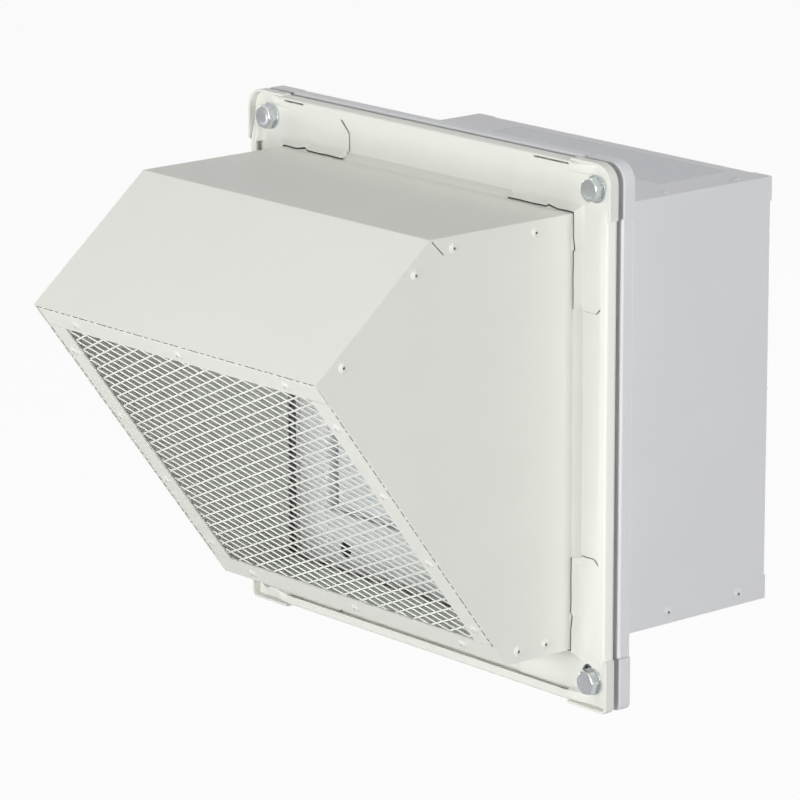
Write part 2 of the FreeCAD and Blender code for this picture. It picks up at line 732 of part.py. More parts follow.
def casing_corners():
    """The casing's corner plates, behind its flange legs."""
    edge = HALF + SEAT_GAP
    arm = corner_arm(CASING_CORNER_Y, CORNER_THICK, HALF + BEND_IN)
    return corner_plates(CASING_CORNER_Y, 0, CORNER_THICK, arm, edge, edge)


def flange_bolt():
    """One bolt: head in the hood corner plate's tray, shank through both flanges and on into the wall."""
    head_at = V(BOLT_AT, BOLT_SEAT_Y - WASHER_THICK, BOLT_AT)
    wall_at = V(BOLT_AT, 0, BOLT_AT)
    head = hexagon(BOLT_HEAD_FLATS, head_at, -Y_AXIS, BOLT_HEAD_HIGH)
    # The stud beyond the wall plane is joined without merging faces, so its round wall starts at that plane.
    stud = rod(BOLT_RADIUS, wall_at, wall_at + Y_AXIS * BOLT_STAND_OUT)
    return stud.multiFuse([rod(BOLT_RADIUS, head_at, wall_at), head]).Solids[0]


def bolt_ring(outer, start, high):
    """A washer on the top right bolt."""
    begin = V(BOLT_AT, start, BOLT_AT)
    end = begin + Y_AXIS * high
    return rod(outer, begin, end).cut(rod(BOLT_RADIUS + FIT, begin, end))


def flange_washers():
    """Washers under the bolt heads and under the nuts."""
    front = bolt_ring(WASHER_RADIUS, BOLT_SEAT_Y - WASHER_THICK, WASHER_THICK)
    back = bolt_ring(WASHER_RADIUS, CASING_CORNER_Y + CORNER_THICK, WASHER_THICK)
    return Part.makeCompound(four_corners(front).Solids + four_corners(back).Solids)


def flange_nut():
    """The thin nut in the recess behind the casing corner plate."""
    start = V(BOLT_AT, CASING_CORNER_Y + CORNER_THICK + WASHER_THICK, BOLT_AT)
    nut = hexagon(BOLT_HEAD_FLATS, start, Y_AXIS, NUT_HIGH)
    return nut.cut(rod(BOLT_RADIUS + FIT, start, start + Y_AXIS * NUT_HIGH))


def hood_rivets():
    """The rivets on both sides of the hood."""
    return Part.makeCompound([rivet(p, out, 2 * SHEET) for p, out in both_sides(side_rivet_places())])


def mesh_rivets():
    """The rivets round the mesh border."""
    return on_mesh(Part.makeCompound([rivet(p, -Z_AXIS, SHEET + MESH_THICK) for p in mesh_rivet_places()]))


def panel_rivets(places):
    """Rivets at places on the top panel, repeated on the other three panels."""
    one_side = Part.makeCompound([rivet(point, Z_AXIS, 2 * SHEET) for point in places])
    return Part.makeCompound([turned(one_side, angle) for angle in TURNS.values()])


def rod_heights():
    """Heights of the damper rods, from the top one down."""
    top = OPENING_HALF_HIGH - KNUCKLE_RADIUS - BLADE_HEAD_GAP
    return [top - k * BLADE_PITCH for k in range(BLADE_COUNT)]


def damper_member(opening_half, length_half):
    """One side of the damper frame, as the top one: wall leg, border face and the return at the opening."""
    path = [(DAMPER_FACE + DAMPER_LEG, INNER), (DAMPER_FACE, INNER)]
    path += [(DAMPER_FACE, opening_half), (DAMPER_FACE + DAMPER_RETURN, opening_half)]
    member = along_x(bent_face(path, SHEET), -length_half, length_half)
    holes = [rivet_hole(point, Z_AXIS, 2 * SHEET) for point in damper_rivet_places()]
    return member.cut(Part.makeCompound(holes))


def damper_frame():
    """The four members of the damper frame by side, with rod holes and drain holes."""
    members = {}
    rods = [rod(ROD_RADIUS + FIT, V(-HALF, ROD_Y, z), V(HALF, ROD_Y, z)) for z in rod_heights()]
    border_middle = (OPENING_HALF_HIGH + INNER) / 2 + DRAIN_HOLE
    start = V(OPENING_HALF_WIDE - DRAIN_EDGE, DAMPER_FACE - SHEET, -border_middle)
    drains = []
    for side in (-1, 1):
        at = V(side * start.x, start.y, start.z)
        drains.append(rod(DRAIN_HOLE, at, at + Y_AXIS * 3 * SHEET))
    for side, angle in TURNS.items():
        upright = side in ("left", "right")
        opening = OPENING_HALF_WIDE if upright else OPENING_HALF_HIGH
        length = INNER if upright else OPENING_HALF_WIDE
        member = turned(damper_member(opening, length), angle)
        if upright:
            reach = OPENING_HALF_WIDE + 3 * SHEET
            inner_side = box((-reach, ROD_Y - DAMPER_RETURN, -HALF), (reach, ROD_Y + DAMPER_RETURN, HALF))
            member = member.cut(Part.makeCompound(rods).common(inner_side))
        if side == "bottom":
            member = member.cut(Part.makeCompound(drains))
        members[side] = member
    return members


def damper_rods():
    """Three hinge rods held in the side members."""
    reach = OPENING_HALF_WIDE + ROD_OVERHANG
    ends = [(V(-reach, ROD_Y, z), V(reach, ROD_Y, z)) for z in rod_heights()]
    return Part.makeCompound([rod(ROD_RADIUS, left, right) for left, right in ends])


def damper_blade(height):
    """A gravity blade: rolled knuckle on its rod, flat plate in front of it and a lip at its foot."""
    half = OPENING_HALF_WIDE - BLADE_SIDE_GAP
    knuckle_half = OPENING_HALF_WIDE - KNUCKLE_SIDE_GAP
    left = V(-knuckle_half, ROD_Y, height)
    right = V(knuckle_half, ROD_Y, height)
    front = ROD_Y - KNUCKLE_RADIUS
    foot = height - BLADE_PITCH + KNUCKLE_RADIUS + BLADE_END_GAP
    bend = foot + BLADE_THICK
    path = [(front, height), (front, bend), (front - BLADE_LIP, bend)]
    plate = along_x(bent_face(path, BLADE_THICK, BEND_IN), -half, half)
    barrel = rod(KNUCKLE_RADIUS, left, right)
    bore = rod(ROD_RADIUS + ROD_RUNNING_GAP, left, right)
    return fused([plate, barrel]).cut(bore)


def fan_panel():
    """Flat plate across the casing with a round hole and the screw holes of the motor arms."""
    half = INNER - PANEL_EDGE_GAP
    plate = box((-half, FAN_PANEL_Y, -half), (half, FAN_PANEL_Y + SHEET, half))
    before = V(0, FAN_PANEL_Y - SHEET, 0)
    through = Y_AXIS * 3 * SHEET
    holes = [rod(BELL_LAND_R - BELL_LAND / 2, before, before + through)]
    for direction in arm_directions():
        at = direction * FOOT_SCREW_R + before
        holes.append(rod(SCREW_RADIUS + FIT, at, at + through))
    return plate.cut(Part.makeCompound(holes))


def fan_panel_angles():
    """Four angle strips that hold the fan panel to the casing walls."""
    corner = FAN_PANEL_Y - SHEET
    path = [(FAN_PANEL_Y + ANGLE_LEG, INNER), (corner, INNER), (corner, INNER - ANGLE_FOOT)]
    half = INNER - ANGLE_END_GAP
    angle_strip = along_x(bent_face(path, SHEET), -half, half)
    return Part.makeCompound([turned(angle_strip, angle) for angle in TURNS.values()])


def bell_mouth():
    """Flared inlet on the fan panel: a flat land, a round bend and a short collar."""
    face = FAN_PANEL_Y + 2 * SHEET
    path = [(face, BELL_LAND_R), (face, RING_RADIUS), (FAN_PANEL_Y - BELL_COLLAR, RING_RADIUS)]
    return bent_face(path, -SHEET, BELL_BEND).revolve(ORIGIN, Y_AXIS, 360)


def fan_ring():
    """Straight ring round the impeller, butted on the bell mouth's collar."""
    return ring(RING_RADIUS + SHEET, RING_RADIUS, FAN_PANEL_Y - RING_REACH, RING_REACH - BELL_COLLAR)


def blade_section(radius, chord, pitch):
    """A cambered blade section in the plane at a radius: two arcs closed by short ends."""
    rise = CAMBER_RATIO * chord
    thick = FAN_BLADE_THICK / 2

    def at(along, across):
        lean = math.radians(pitch)
        turn = along * math.cos(lean) - across * math.sin(lean)
        axial = along * math.sin(lean) + across * math.cos(lean)
        return V(turn, IMPELLER_Y + axial, radius)

    half = chord / 2
    upper = Part.Arc(at(-half, thick), at(0, rise + thick), at(half, thick)).toShape()
    lower = Part.Arc(at(half, -thick), at(0, rise - thick), at(-half, -thick)).toShape()
    front = Part.makeLine(at(half, thick), at(half, -thick))
    back = Part.makeLine(at(-half, -thick), at(-half, thick))
    return Part.Wire([upper, front, lower, back])


def impeller_blades():
    """Pitched blades round the hub, trimmed to the fan's radius."""
    grow = (TIP_CHORD - ROOT_CHORD) / (FAN_RADIUS - HUB_OUT)
    twist = (TIP_ANGLE - ROOT_ANGLE) / (FAN_RADIUS - HUB_OUT)
    sections = []
    for radius in (HUB_IN - 2 * HUB_WALL, (HUB_OUT + FAN_RADIUS) / 2, FAN_RADIUS + 2 * HUB_WALL):
        out = radius - HUB_OUT
        sections.append(blade_section(radius, ROOT_CHORD + grow * out, ROOT_ANGLE + twist * out))
    blade = Part.makeLoft(sections, True)
    trim = ring(FAN_RADIUS, HUB_OUT + FIT, IMPELLER_Y - TIP_CHORD, 2 * TIP_CHORD)
    blade = blade.common(trim).Solids[0]
    return Part.makeCompound([turned(blade, k * 360 / FAN_BLADES) for k in range(FAN_BLADES)])


def impeller_hub():
    """Hub ring that carries the blades on the rotor shell."""
    return ring(HUB_OUT, HUB_IN, IMPELLER_Y - HUB_LONG / 2, HUB_LONG)


def rotor_shell():
    """Cup of the external rotor, closed towards the hood."""
    cup = ring(ROTOR_RADIUS, ROTOR_RADIUS - ROTOR_WALL, ROTOR_START, ROTOR_LONG)
    end = ring(ROTOR_RADIUS, SHAFT_RADIUS + FIT, ROTOR_START, ROTOR_END)
    return fused([cup, end])


def motor_shaft():
    """Shaft fixed in the rotor shell and running in the two bearings."""
    return rod(SHAFT_RADIUS, V(0, ROTOR_START, 0), V(0, SHAFT_END, 0))


def bearing_starts():
    """Where the two bearings begin along Y, at each end of the tube."""
    return (TUBE_START + BEARING_INSET, BASE_END - BASE_FLOOR - BEARING_INSET - BEARING_WIDE)


def motor_bearings():
    """Two bearings in the stator tube."""
    rings = [ring(BEARING_RADIUS, SHAFT_RADIUS + FIT, start, BEARING_WIDE) for start in bearing_starts()]
    return Part.makeCompound(rings)


def arm_angles():
    """How far each motor arm is turned from the top."""
    return [ARM_ANGLE + k * 360 / ARM_COUNT for k in range(ARM_COUNT)]


def arm_directions():
    """The four diagonal directions of the motor arms."""
    return [turned(Part.Vertex(0, 0, 1), angle).Point for angle in arm_angles()]


def stator_base():
    """Motor base with the bearing tube, and holes for the arm screws."""
    disc = rod(ROTOR_RADIUS, V(0, BASE_START, 0), V(0, BASE_END, 0))
    tube = rod(TUBE_OUT, V(0, TUBE_START, 0), V(0, BASE_END, 0))
    bore = rod(BEARING_RADIUS + FIT, V(0, TUBE_START, 0), V(0, BASE_END - BASE_FLOOR, 0))
    base = fused([disc, tube]).cut(bore)
    for direction in arm_directions():
        at = direction * BASE_SCREW_R + V(0, BASE_END, 0)
        base = base.cut(rod(SCREW_RADIUS + FIT, at, at - Y_AXIS * (SCREW_BITE + SEAT_GAP)))
    return base


def stator_core():
    """Lamination stack: yoke round the tube and teeth with shoes at the air gap."""
    yoke = ring(CORE_IN + CORE_YOKE, CORE_IN, CORE_START, CORE_LONG)
    shoe = ring(CORE_OUT, CORE_OUT - TOOTH_SHOE, CORE_START, CORE_LONG)
    half = TOOTH_WIDE / 2
    tooth = box((-half, CORE_START, CORE_IN + CORE_YOKE / 2),
                (half, CORE_START + CORE_LONG, CORE_OUT - TOOTH_SHOE / 2))
    teeth = [turned(tooth, k * 360 / CORE_TEETH) for k in range(CORE_TEETH)]
    return fused([yoke, shoe] + teeth)


def stator_windings():
    """Winding heads at both ends of the stack, as two rounded rings."""
    inner = CORE_IN + CORE_YOKE / 2
    outer = CORE_OUT - TOOTH_SHOE - WINDING_GAP
    heads = []
    for start in (CORE_START - WINDING_HIGH, CORE_START + CORE_LONG):
        head = ring(outer, inner, start, WINDING_HIGH)
        free = start if start < CORE_START else start + WINDING_HIGH
        edges = [edge for edge in head.Edges if edge.Closed and abs(edge.BoundBox.Center.y - free) < SEAT_GAP
                 and edge.BoundBox.YLength < SEAT_GAP]
        heads.append(head.makeFillet(WINDING_ROUND, edges))
    return Part.makeCompound(heads)


def motor_arms():
    """Bent straps that carry the motor base on the fan panel."""
    seat = BASE_END + ARM_THICK
    foot = FAN_PANEL_Y + SHEET + ARM_THICK
    path = [(seat, ARM_SEAT_IN), (seat, ARM_BEND_OUT), (foot, ARM_FOOT_IN), (foot, ARM_FOOT_OUT)]
    arm = along_x(bent_face(path, ARM_THICK), -ARM_WIDE / 2, ARM_WIDE / 2)
    for radius, level in ((BASE_SCREW_R, seat), (FOOT_SCREW_R, foot)):
        arm = arm.cut(rod(SCREW_RADIUS + FIT, V(0, level, radius), V(0, level - ARM_THICK, radius)))
    return Part.makeCompound([turned(arm, angle) for angle in arm_angles()])


def motor_screws():
    """Screws through both ends of each motor arm."""
    seat = BASE_END + ARM_THICK
    foot = FAN_PANEL_Y + SHEET + ARM_THICK
    long = ARM_THICK + SCREW_BITE
    screws = []
    for direction in arm_directions():
        for radius, level in ((BASE_SCREW_R, seat), (FOOT_SCREW_R, foot)):
            at = direction * radius + V(0, level, 0)
            screws.append(screw(at, Y_AXIS, SCREW_RADIUS, SCREW_HEAD, SCREW_HEAD_HIGH, long))
    return Part.makeCompound(screws)


def wire_section(radius):
    """Corners of a wire drawn with flats, as pairs, with radius to its flats."""
    corner = radius / math.cos(math.pi / WIRE_SIDES)
    angles = [(2 * k + 1) * math.pi / WIRE_SIDES for k in range(WIRE_SIDES)]
    return [(corner * math.cos(angle), corner * math.sin(angle)) for angle in angles]


def guard_ring(radius, wire):
    """One ring of guard wire about the fan's axis."""
    points = [V(0, GUARD_Y + y, radius + z) for y, z in wire_section(wire)]
    return Part.Face(Part.makePolygon(points + points[:1])).revolve(ORIGIN, Y_AXIS, 360)


def inlet_guard():
    """Wire guard at the room end: a rim on the rear returns, inner rings and spokes."""
    pieces = [guard_ring(GUARD_RIM_R, GUARD_RIM_WIRE)]
    pieces += [guard_ring(GUARD_RIM_R - k * GUARD_RING_PITCH, GUARD_WIRE) for k in range(1, GUARD_RINGS + 1)]
    inner = GUARD_RIM_R - GUARD_RINGS * GUARD_RING_PITCH - 2 * GUARD_WIRE
    points = [V(x, GUARD_Y - GUARD_SINK + y, inner) for x, y in wire_section(GUARD_WIRE)]
    spoke = Part.Face(Part.makePolygon(points + points[:1])).extrude(V(0, 0, GUARD_RIM_R - inner))
    pieces += [turned(spoke, (k + 0.5) * 360 / GUARD_SPOKES) for k in range(GUARD_SPOKES)]
    return fused(pieces)


def guard_clip():
    """The top clip: a block over the guard's rim, held to the rear return by one screw."""
    back = CASING_REACH - SHEET
    groove_in = GUARD_RIM_R - GUARD_RIM_WIRE - CLIP_GAP
    groove_out = GUARD_RIM_R + GUARD_RIM_WIRE + CLIP_GAP
    groove_front = GUARD_Y - GUARD_RIM_WIRE - CLIP_GAP
    half = CLIP_WIDE / 2
    low = HALF - CASING_RETURN + CLIP_EDGE
    high = INNER - BEND_IN - CLIP_GAP
    block = box((-half, groove_front - CLIP_CAP, low), (half, back, high))
    block = block.cut(box((-HALF, groove_front, groove_in), (HALF, back, groove_out)))
    at = guard_screw_place()
    return block.cut(rod(CLIP_SCREW + FIT, at, at - Y_AXIS * (CLIP_SCREW_LONG + SEAT_GAP)))


def guard_screw():
    """The screw of the top clip, put in from the room side."""
    place = guard_screw_place()
    return screw(place, Y_AXIS, CLIP_SCREW, CLIP_SCREW_HEAD, CLIP_SCREW_HEAD_HIGH, CLIP_SCREW_LONG)


def terminal_span(inset=0):
    """Low and high corners of the terminal box on the left wall, drawn in by inset on four sides."""
    low = (-INNER, TERMINAL_Y + inset, inset - TERMINAL_HIGH / 2)
    high = (TERMINAL_DEEP - INNER, TERMINAL_Y + TERMINAL_LONG - inset, TERMINAL_HIGH / 2 - inset)
    return low, high


def lid_screw_places():
    """Middles of the four lid screws, on the lid's outer face."""
    low, high = terminal_span(LID_POST)
    face = high[0] + LID_THICK
    return [V(face, y, z) for y in (low[1], high[1]) for z in (low[2], high[2])]


def terminal_box():
    """Terminal box with screw posts, and the hole for its gland."""
    low, high = terminal_span()
    shell = box(low, high)
    inner_low, inner_high = terminal_span(TERMINAL_WALL)
    shell = shell.cut(box((low[0] + TERMINAL_WALL,) + inner_low[1:], inner_high))
    posts = [rod(LID_POST - FIT, p - X_AXIS * LID_THICK, V(low[0], p.y, p.z)) for p in lid_screw_places()]
    shell = fused([shell] + posts)
    bite = LID_SCREW_LONG + SEAT_GAP
    holes = [rod(LID_SCREW + FIT, p, p - X_AXIS * bite) for p in lid_screw_places()]
    at = gland_place()
    holes.append(rod(GLAND_RADIUS + FIT, at, at + Z_AXIS * 2 * TERMINAL_WALL))
    return shell.cut(Part.makeCompound(holes))


def gland_place():
    """Middle of the gland on the underside of the terminal box."""
    low, high = terminal_span()
    return V((low[0] + high[0]) / 2, (low[1] + high[1]) / 2, low[2])


def cable_gland():
    """Supply gland: a hexagon on the box, a dome below it and a threaded end inside."""
    at = gland_place()
    flange = hexagon(GLAND_FLATS, at, -Z_AXIS, GLAND_HEX_HIGH)
    dome_at = at - Z_AXIS * GLAND_HEX_HIGH
    dome = placed(Part.makeCone(GLAND_FLATS / 2, GLAND_TIP_RADIUS, GLAND_DOME_HIGH), dome_at, -Z_AXIS)
    thread = rod(GLAND_RADIUS, at, at + Z_AXIS * 2 * TERMINAL_WALL)
    bore = rod(GLAND_BORE, at + Z_AXIS * LAP, dome_at - Z_AXIS * LAP)
    return fused([flange, dome, thread]).cut(bore)


def lead_level():
    """Depth at which the motor lead runs to the terminal box."""
    return BASE_END + LEAD_RISE


def terminal_lid():
    """Lid of the terminal box with its screw holes and the hole for the motor lead."""
    low, high = terminal_span()
    lid = box((high[0], low[1], low[2]), (high[0] + LID_THICK, high[1], high[2]))
    holes = [rod(LID_SCREW + FIT, p, p - X_AXIS * LID_THICK) for p in lid_screw_places()]
    middle = V(high[0], lead_level(), 0)
    holes.append(rod(LEAD_RADIUS + FIT, middle, middle + X_AXIS * LID_THICK))
    return lid.cut(Part.makeCompound(holes))


def lid_screws():
    """Screws of the terminal box lid."""
    sizes = (LID_SCREW, LID_SCREW_HEAD, LID_SCREW_HEAD_HIGH, LID_SCREW_LONG)
    return Part.makeCompound([screw(place, X_AXIS, *sizes) for place in lid_screw_places()])


def motor_lead():
    """Lead from the motor base, round one bend and into the terminal box through its lid."""
    start = V(-LEAD_EXIT_R, BASE_END, 0)
    corner = V(-LEAD_EXIT_R, lead_level(), 0)
    end = V(TERMINAL_DEEP - INNER, lead_level(), 0)
    bend_start = corner - Y_AXIS * LEAD_BEND
    bend_end = corner - X_AXIS * LEAD_BEND
    inward = LEAD_BEND * (1 - math.sqrt(0.5))
    bend = Part.Arc(bend_start, corner - V(inward, inward, 0), bend_end).toShape()
    path = Part.Wire([Part.makeLine(start, bend_start), bend, Part.makeLine(bend_end, end)])
    section = Part.Wire(Part.makeCircle(LEAD_RADIUS, start, Y_AXIS))
    return path.makePipeShell([section], True, False)


def all_nodes():
    """Every sub-part by its node name."""
    nodes = {}
    panel = casing_panel()
    frame = damper_frame()
    for side, angle in TURNS.items():
        nodes["casing_" + side + "_panel"] = turned(panel, angle)
        nodes["damper_frame_" + side] = frame[side]
    nodes["casing_corner_plates"] = casing_corners()
    nodes["casing_rivets"] = panel_rivets(casing_rivet_places())
    nodes["damper_rivets"] = panel_rivets(damper_rivet_places())
    nodes["hood_canopy"] = hood_canopy()
    nodes["hood_bottom_panel"] = hood_bottom()
    nodes["hood_right_side"] = hood_side()
    nodes["hood_left_side"] = mirrored(hood_side())
    nodes["hood_corner_plates"] = hood_corners()
    nodes["hood_rivets"] = hood_rivets()
    nodes["mesh_strip_right"] = mesh_strip()
    nodes["mesh_strip_left"] = mirrored(mesh_strip())
    nodes["mesh_strip_top"] = mesh_strip_top()
    nodes["bird_mesh"] = bird_mesh()
    nodes["mesh_rivets"] = mesh_rivets()
    nodes["flange_gasket"] = gasket()
    nodes["flange_bolts"] = four_corners(flange_bolt())
    nodes["flange_washers"] = flange_washers()
    nodes["flange_nuts"] = four_corners(flange_nut())
    nodes["damper_rods"] = damper_rods()
    for name, height in zip(("top", "middle", "bottom"), rod_heights()):
        nodes["damper_blade_" + name] = damper_blade(height)
    nodes["fan_panel"] = fan_panel()
    nodes["fan_panel_angles"] = fan_panel_angles()
    nodes["bell_mouth"] = bell_mouth()
    nodes["fan_ring"] = fan_ring()
    nodes["impeller_hub"] = impeller_hub()
    nodes["impeller_blades"] = impeller_blades()
    nodes["rotor_shell"] = rotor_shell()
    nodes["motor_shaft"] = motor_shaft()
    nodes["motor_bearings"] = motor_bearings()
    nodes["stator_base"] = stator_base()
    nodes["stator_core"] = stator_core()
    nodes["stator_windings"] = stator_windings()
    nodes["motor_arms"] = motor_arms()
    nodes["motor_screws"] = motor_screws()
    nodes["inlet_guard"] = inlet_guard()
    nodes["guard_clips"] = four_corners(guard_clip())
    nodes["guard_screws"] = four_corners(guard_screw())
    nodes["terminal_box"] = terminal_box()
    nodes["terminal_box_lid"] = terminal_lid()
    nodes["lid_screws"] = lid_screws()
    nodes["cable_gland"] = cable_gland()
    nodes["motor_lead"] = motor_lead()
    return nodes


os.makedirs("parts", exist_ok=True)
for node_name, node_shape in all_nodes().items():
    node_shape.exportStep("parts/" + node_name + ".step")
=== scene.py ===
"""Looks of the wall-mounted axial fan: finishes, fine sheet-metal detail, wires, threads and the studio."""

import math

import bmesh
import bpy
import numpy
from bpy.props import FloatProperty, FloatVectorProperty, IntProperty, PointerProperty
from mathutils import Matrix, Vector


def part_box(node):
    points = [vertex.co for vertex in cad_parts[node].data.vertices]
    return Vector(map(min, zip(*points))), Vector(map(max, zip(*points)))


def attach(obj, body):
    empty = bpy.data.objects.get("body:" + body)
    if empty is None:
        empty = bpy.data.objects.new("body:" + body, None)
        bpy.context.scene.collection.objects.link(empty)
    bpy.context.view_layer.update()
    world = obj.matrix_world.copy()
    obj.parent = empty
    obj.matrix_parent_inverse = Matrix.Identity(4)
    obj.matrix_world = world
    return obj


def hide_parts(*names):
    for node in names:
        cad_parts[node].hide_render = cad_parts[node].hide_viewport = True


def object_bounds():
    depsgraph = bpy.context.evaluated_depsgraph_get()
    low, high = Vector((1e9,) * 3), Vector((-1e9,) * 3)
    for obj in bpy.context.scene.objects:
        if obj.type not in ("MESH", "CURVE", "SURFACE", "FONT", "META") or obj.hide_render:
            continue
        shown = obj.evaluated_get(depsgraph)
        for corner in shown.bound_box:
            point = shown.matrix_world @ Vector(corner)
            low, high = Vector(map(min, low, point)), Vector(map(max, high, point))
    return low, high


bl_info = {
    "name": "Wall fan looks",
    "version": (1, 0, 0),
    "blender": (4, 5, 0),
    "location": "3D View > Sidebar > Wall fan",
    "description": "Finishes and fine detail for a wall-mounted axial fan with a weather hood",
    "category": "Object",
}

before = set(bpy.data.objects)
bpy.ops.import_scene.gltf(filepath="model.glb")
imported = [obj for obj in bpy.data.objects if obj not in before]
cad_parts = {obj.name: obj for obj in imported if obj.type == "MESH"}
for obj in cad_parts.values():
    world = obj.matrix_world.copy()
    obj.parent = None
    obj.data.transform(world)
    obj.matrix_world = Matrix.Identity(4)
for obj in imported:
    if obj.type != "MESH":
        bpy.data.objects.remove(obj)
cad_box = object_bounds()

MM = 0.001
# Corners of a CAD mesh that are nearer than this are one corner.
SAME_PLACE = 0.002 * MM
# New sheet and beads lie this far off the CAD sheet below them, so that no two faces coincide.
SKIN = 0.03 * MM
# Thickness of the hood's walls and of the corner plates' arms.
SHEET = 1 * MM
# The slits beside the mesh border start and stop this far from the ends of the mesh.
SLIT_TOP = 14 * MM
SLIT_LOW = 10 * MM
# Place and width of each softbox in metres; all of them face the fan.
SOFTBOXES = {
    "key": ((0.17, -2.39, 0.14), 0.9),
    "fill": ((2.34, -0.25, 0.42), 1.2),
    "top": ((0.17, -0.22, 2.38), 1.2),
    "back": ((-0.15, 2.39, 0.15), 1.0),
    "left": ((-2.34, -0.52, 0.10), 1.0),
}
X_AXIS = Vector((1, 0, 0))
Y_AXIS = Vector((0, 1, 0))
Z_AXIS = Vector((0, 0, 1))
HOOD_NODES = ("hood_canopy", "hood_bottom_panel", "hood_right_side", "hood_left_side", "hood_corner_plates",
              "mesh_strip_right", "mesh_strip_left", "mesh_strip_top")
CASING_NODES = ("casing_top_panel", "casing_right_panel", "casing_bottom_panel", "casing_left_panel",
                "casing_corner_plates")
DAMPER_SHEETS = ("damper_frame_top", "damper_frame_right", "damper_frame_bottom", "damper_frame_left")
DAMPER_BLADES = ("damper_blade_top", "damper_blade_middle", "damper_blade_bottom")
FAN_SHEETS = ("fan_panel", "fan_panel_angles", "bell_mouth", "fan_ring")
RIVET_NODES = ("casing_rivets", "damper_rivets", "hood_rivets", "mesh_rivets")


def linear(code):
    """An sRGB hex colour as the linear values that shaders take."""
    parts = [int(code[k:k + 2], 16) / 255 for k in (1, 3, 5)]
    return tuple(c / 12.92 if c <= 0.04045 else ((c + 0.055) / 1.055) ** 2.4 for c in parts)


def length(label, text, millimetres):
    """A length property with its default given in millimetres."""
    return FloatProperty(name=label, description=text, default=millimetres * MM, min=0, subtype="DISTANCE",
                         unit="LENGTH", precision=5)


def angle(label, text, degrees):
    """An angle property with its default given in degrees."""
    return FloatProperty(name=label, description=text, default=math.radians(degrees), subtype="ANGLE",
                         unit="ROTATION")


def colour(label, text, code):
    """A colour property with its default given as sRGB hex."""
    return FloatVectorProperty(name=label, description=text, default=linear(code), size=3, min=0, max=1,
                               subtype="COLOR")


def brightness(label, text, amount):
    """A light level property; 1 shows a facing white surface as white."""
    return FloatProperty(name=label, description=text, default=amount, min=0)


class SheetSettings(bpy.types.PropertyGroup):
    hood_colour: colour("Hood", "Powder coat of the weather hood", "#E9EAE3")
    casing_colour: colour("Casing", "Powder coat of the wall casing", "#E4E5E8")
    # Painted light: the damper's colour is set whiter than a real coil coat, to brighten the damper that lies in the
    # hood's shade behind the mesh.
    damper_colour_painted_bright: colour("Damper", "Coil coat of the damper frame and fan panel", "#F6FAFC")
    # Painted light: the blades' colour is also set whiter than a real coil coat, to brighten them behind the mesh.
    blade_colour_painted_bright: colour("Damper blades", "Coil coat of the gravity blades", "#F1F6F9")
    edge_round: length("Edge round", "Radius that the coat gives to cut sheet edges", 0.25)
    peel: length("Orange peel", "Spacing of the powder coat's orange peel", 1.6)
    wave: length("Sheet waves", "Spacing of the slow waves in rolled sheet", 85)


class MeshSettings(bpy.types.PropertyGroup):
    long_pitch: length("Long pitch", "Diamond size across the hood", 16.9)
    short_pitch: length("Short pitch", "Diamond size down the slope", 8.0)
    strand_width: length("Strand width", "Width of a strand before it is stretched", 1.05)
    strand_thick: length("Strand thickness", "Thickness of the sheet that was expanded", 0.6)
    depth: length("Depth", "How far the strands' middles lie behind the outer face of the mesh", 0.75)
    margin: length("Margin", "How far the strands stop from the edge of the mesh", 2)
    wander: length("Wander", "How far a bond strays from its even place", 0.45)
    tilt: angle("Strand tilt", "How far expanding turns a strand out of the sheet", 36)
    askew: angle("Askew", "How far the mesh is turned in its border", 1.6)


class FastenerSettings(bpy.types.PropertyGroup):
    spacing: length("Bolt spacing", "Distance between flange bolts along a side", 288)
    head_flats: length("Head", "Size of the bolt head across flats", 13)
    head_high: length("Head height", "Height of the bolt head", 5.3)
    washer: length("Washer", "Thickness of the washer under a bolt head", 1.6)
    bolt_radius: length("Thread radius", "Outside radius of the bolt's thread", 4)
    thread_pitch: length("Thread pitch", "Distance between turns of the thread", 1.25)
    thread_deep: length("Thread depth", "Depth of the thread's groove", 0.68)
    mandrel_radius: length("Rivet pin", "Radius of the steel pin left in a blind rivet", 0.86)
    mandrel_sunk: length("Rivet pin depth", "How far the broken pin lies below the top of the rivet", 0.7)


class GuardSettings(bpy.types.PropertyGroup):
    rim_wire: length("Rim wire", "Radius of the rim's wire", 2)
    ring_wire: length("Ring wire", "Radius of the wire of rings and spokes", 1.5)
    ring_pitch: length("Ring pitch", "Distance between rings", 18)
    rings: IntProperty(name="Rings", description="Rings inside the rim", default=5, min=1)
    spokes: IntProperty(name="Spokes", description="Spokes behind the rings", default=8, min=3)


class SeamSettings(bpy.types.PropertyGroup):
    wall: length("Wall", "Distance of the hood's walls from the fan's axis", 128)
    bit_pitch: length("Bit spacing", "Distance between the strand ends in the slit round the mesh border", 5.6)
    loose_from: length("Loose from", "Distance from the middle of a strip to where its sheet edge lifts", 73)
    lift: length("Lift", "How far a loose sheet edge stands off the wall", 0.9)
    flap: length("Flap", "Width of the raised sheet along a loose edge", 7)
    kink: length("Kink", "How far a loose edge is knocked outwards at its kink", 1.4)
    kink_at: length("Kink place", "Distance from the middle of a strip to the kink", 106)
    arm_tip: length("Arm tip", "Distance from the middle of a strip to the tip of a corner plate's arm", 72)
    arm_cut: length("Arm cut", "Size of the cut corner of an arm's tip", 11)
    # Width of the thin dark strip of painted shade along each arm's tip.
    arm_shade_width: length("Arm bead", "Width of the mastic along an arm's tip", 0.4)
    ramp: length("Ramp", "Length of the ramp from a hem down to the corner plate", 22)


class StickerSettings(bpy.types.PropertyGroup):
    wide: length("Width", "Width of the blank sticker on the casing", 182)
    deep: length("Depth", "Depth of the blank sticker on the casing", 54)
    corner: length("Corner", "Corner radius of the sticker", 3)
    thick: length("Thickness", "Thickness of the film", 0.12)
    right: length("Right", "How far the sticker's middle lies right of the fan's axis", 10)
    behind: length("Behind", "How far the sticker's middle lies behind the wall plane", 103)
    face_colour: colour("Film", "Colour of the blank film", "#C9CBD3")


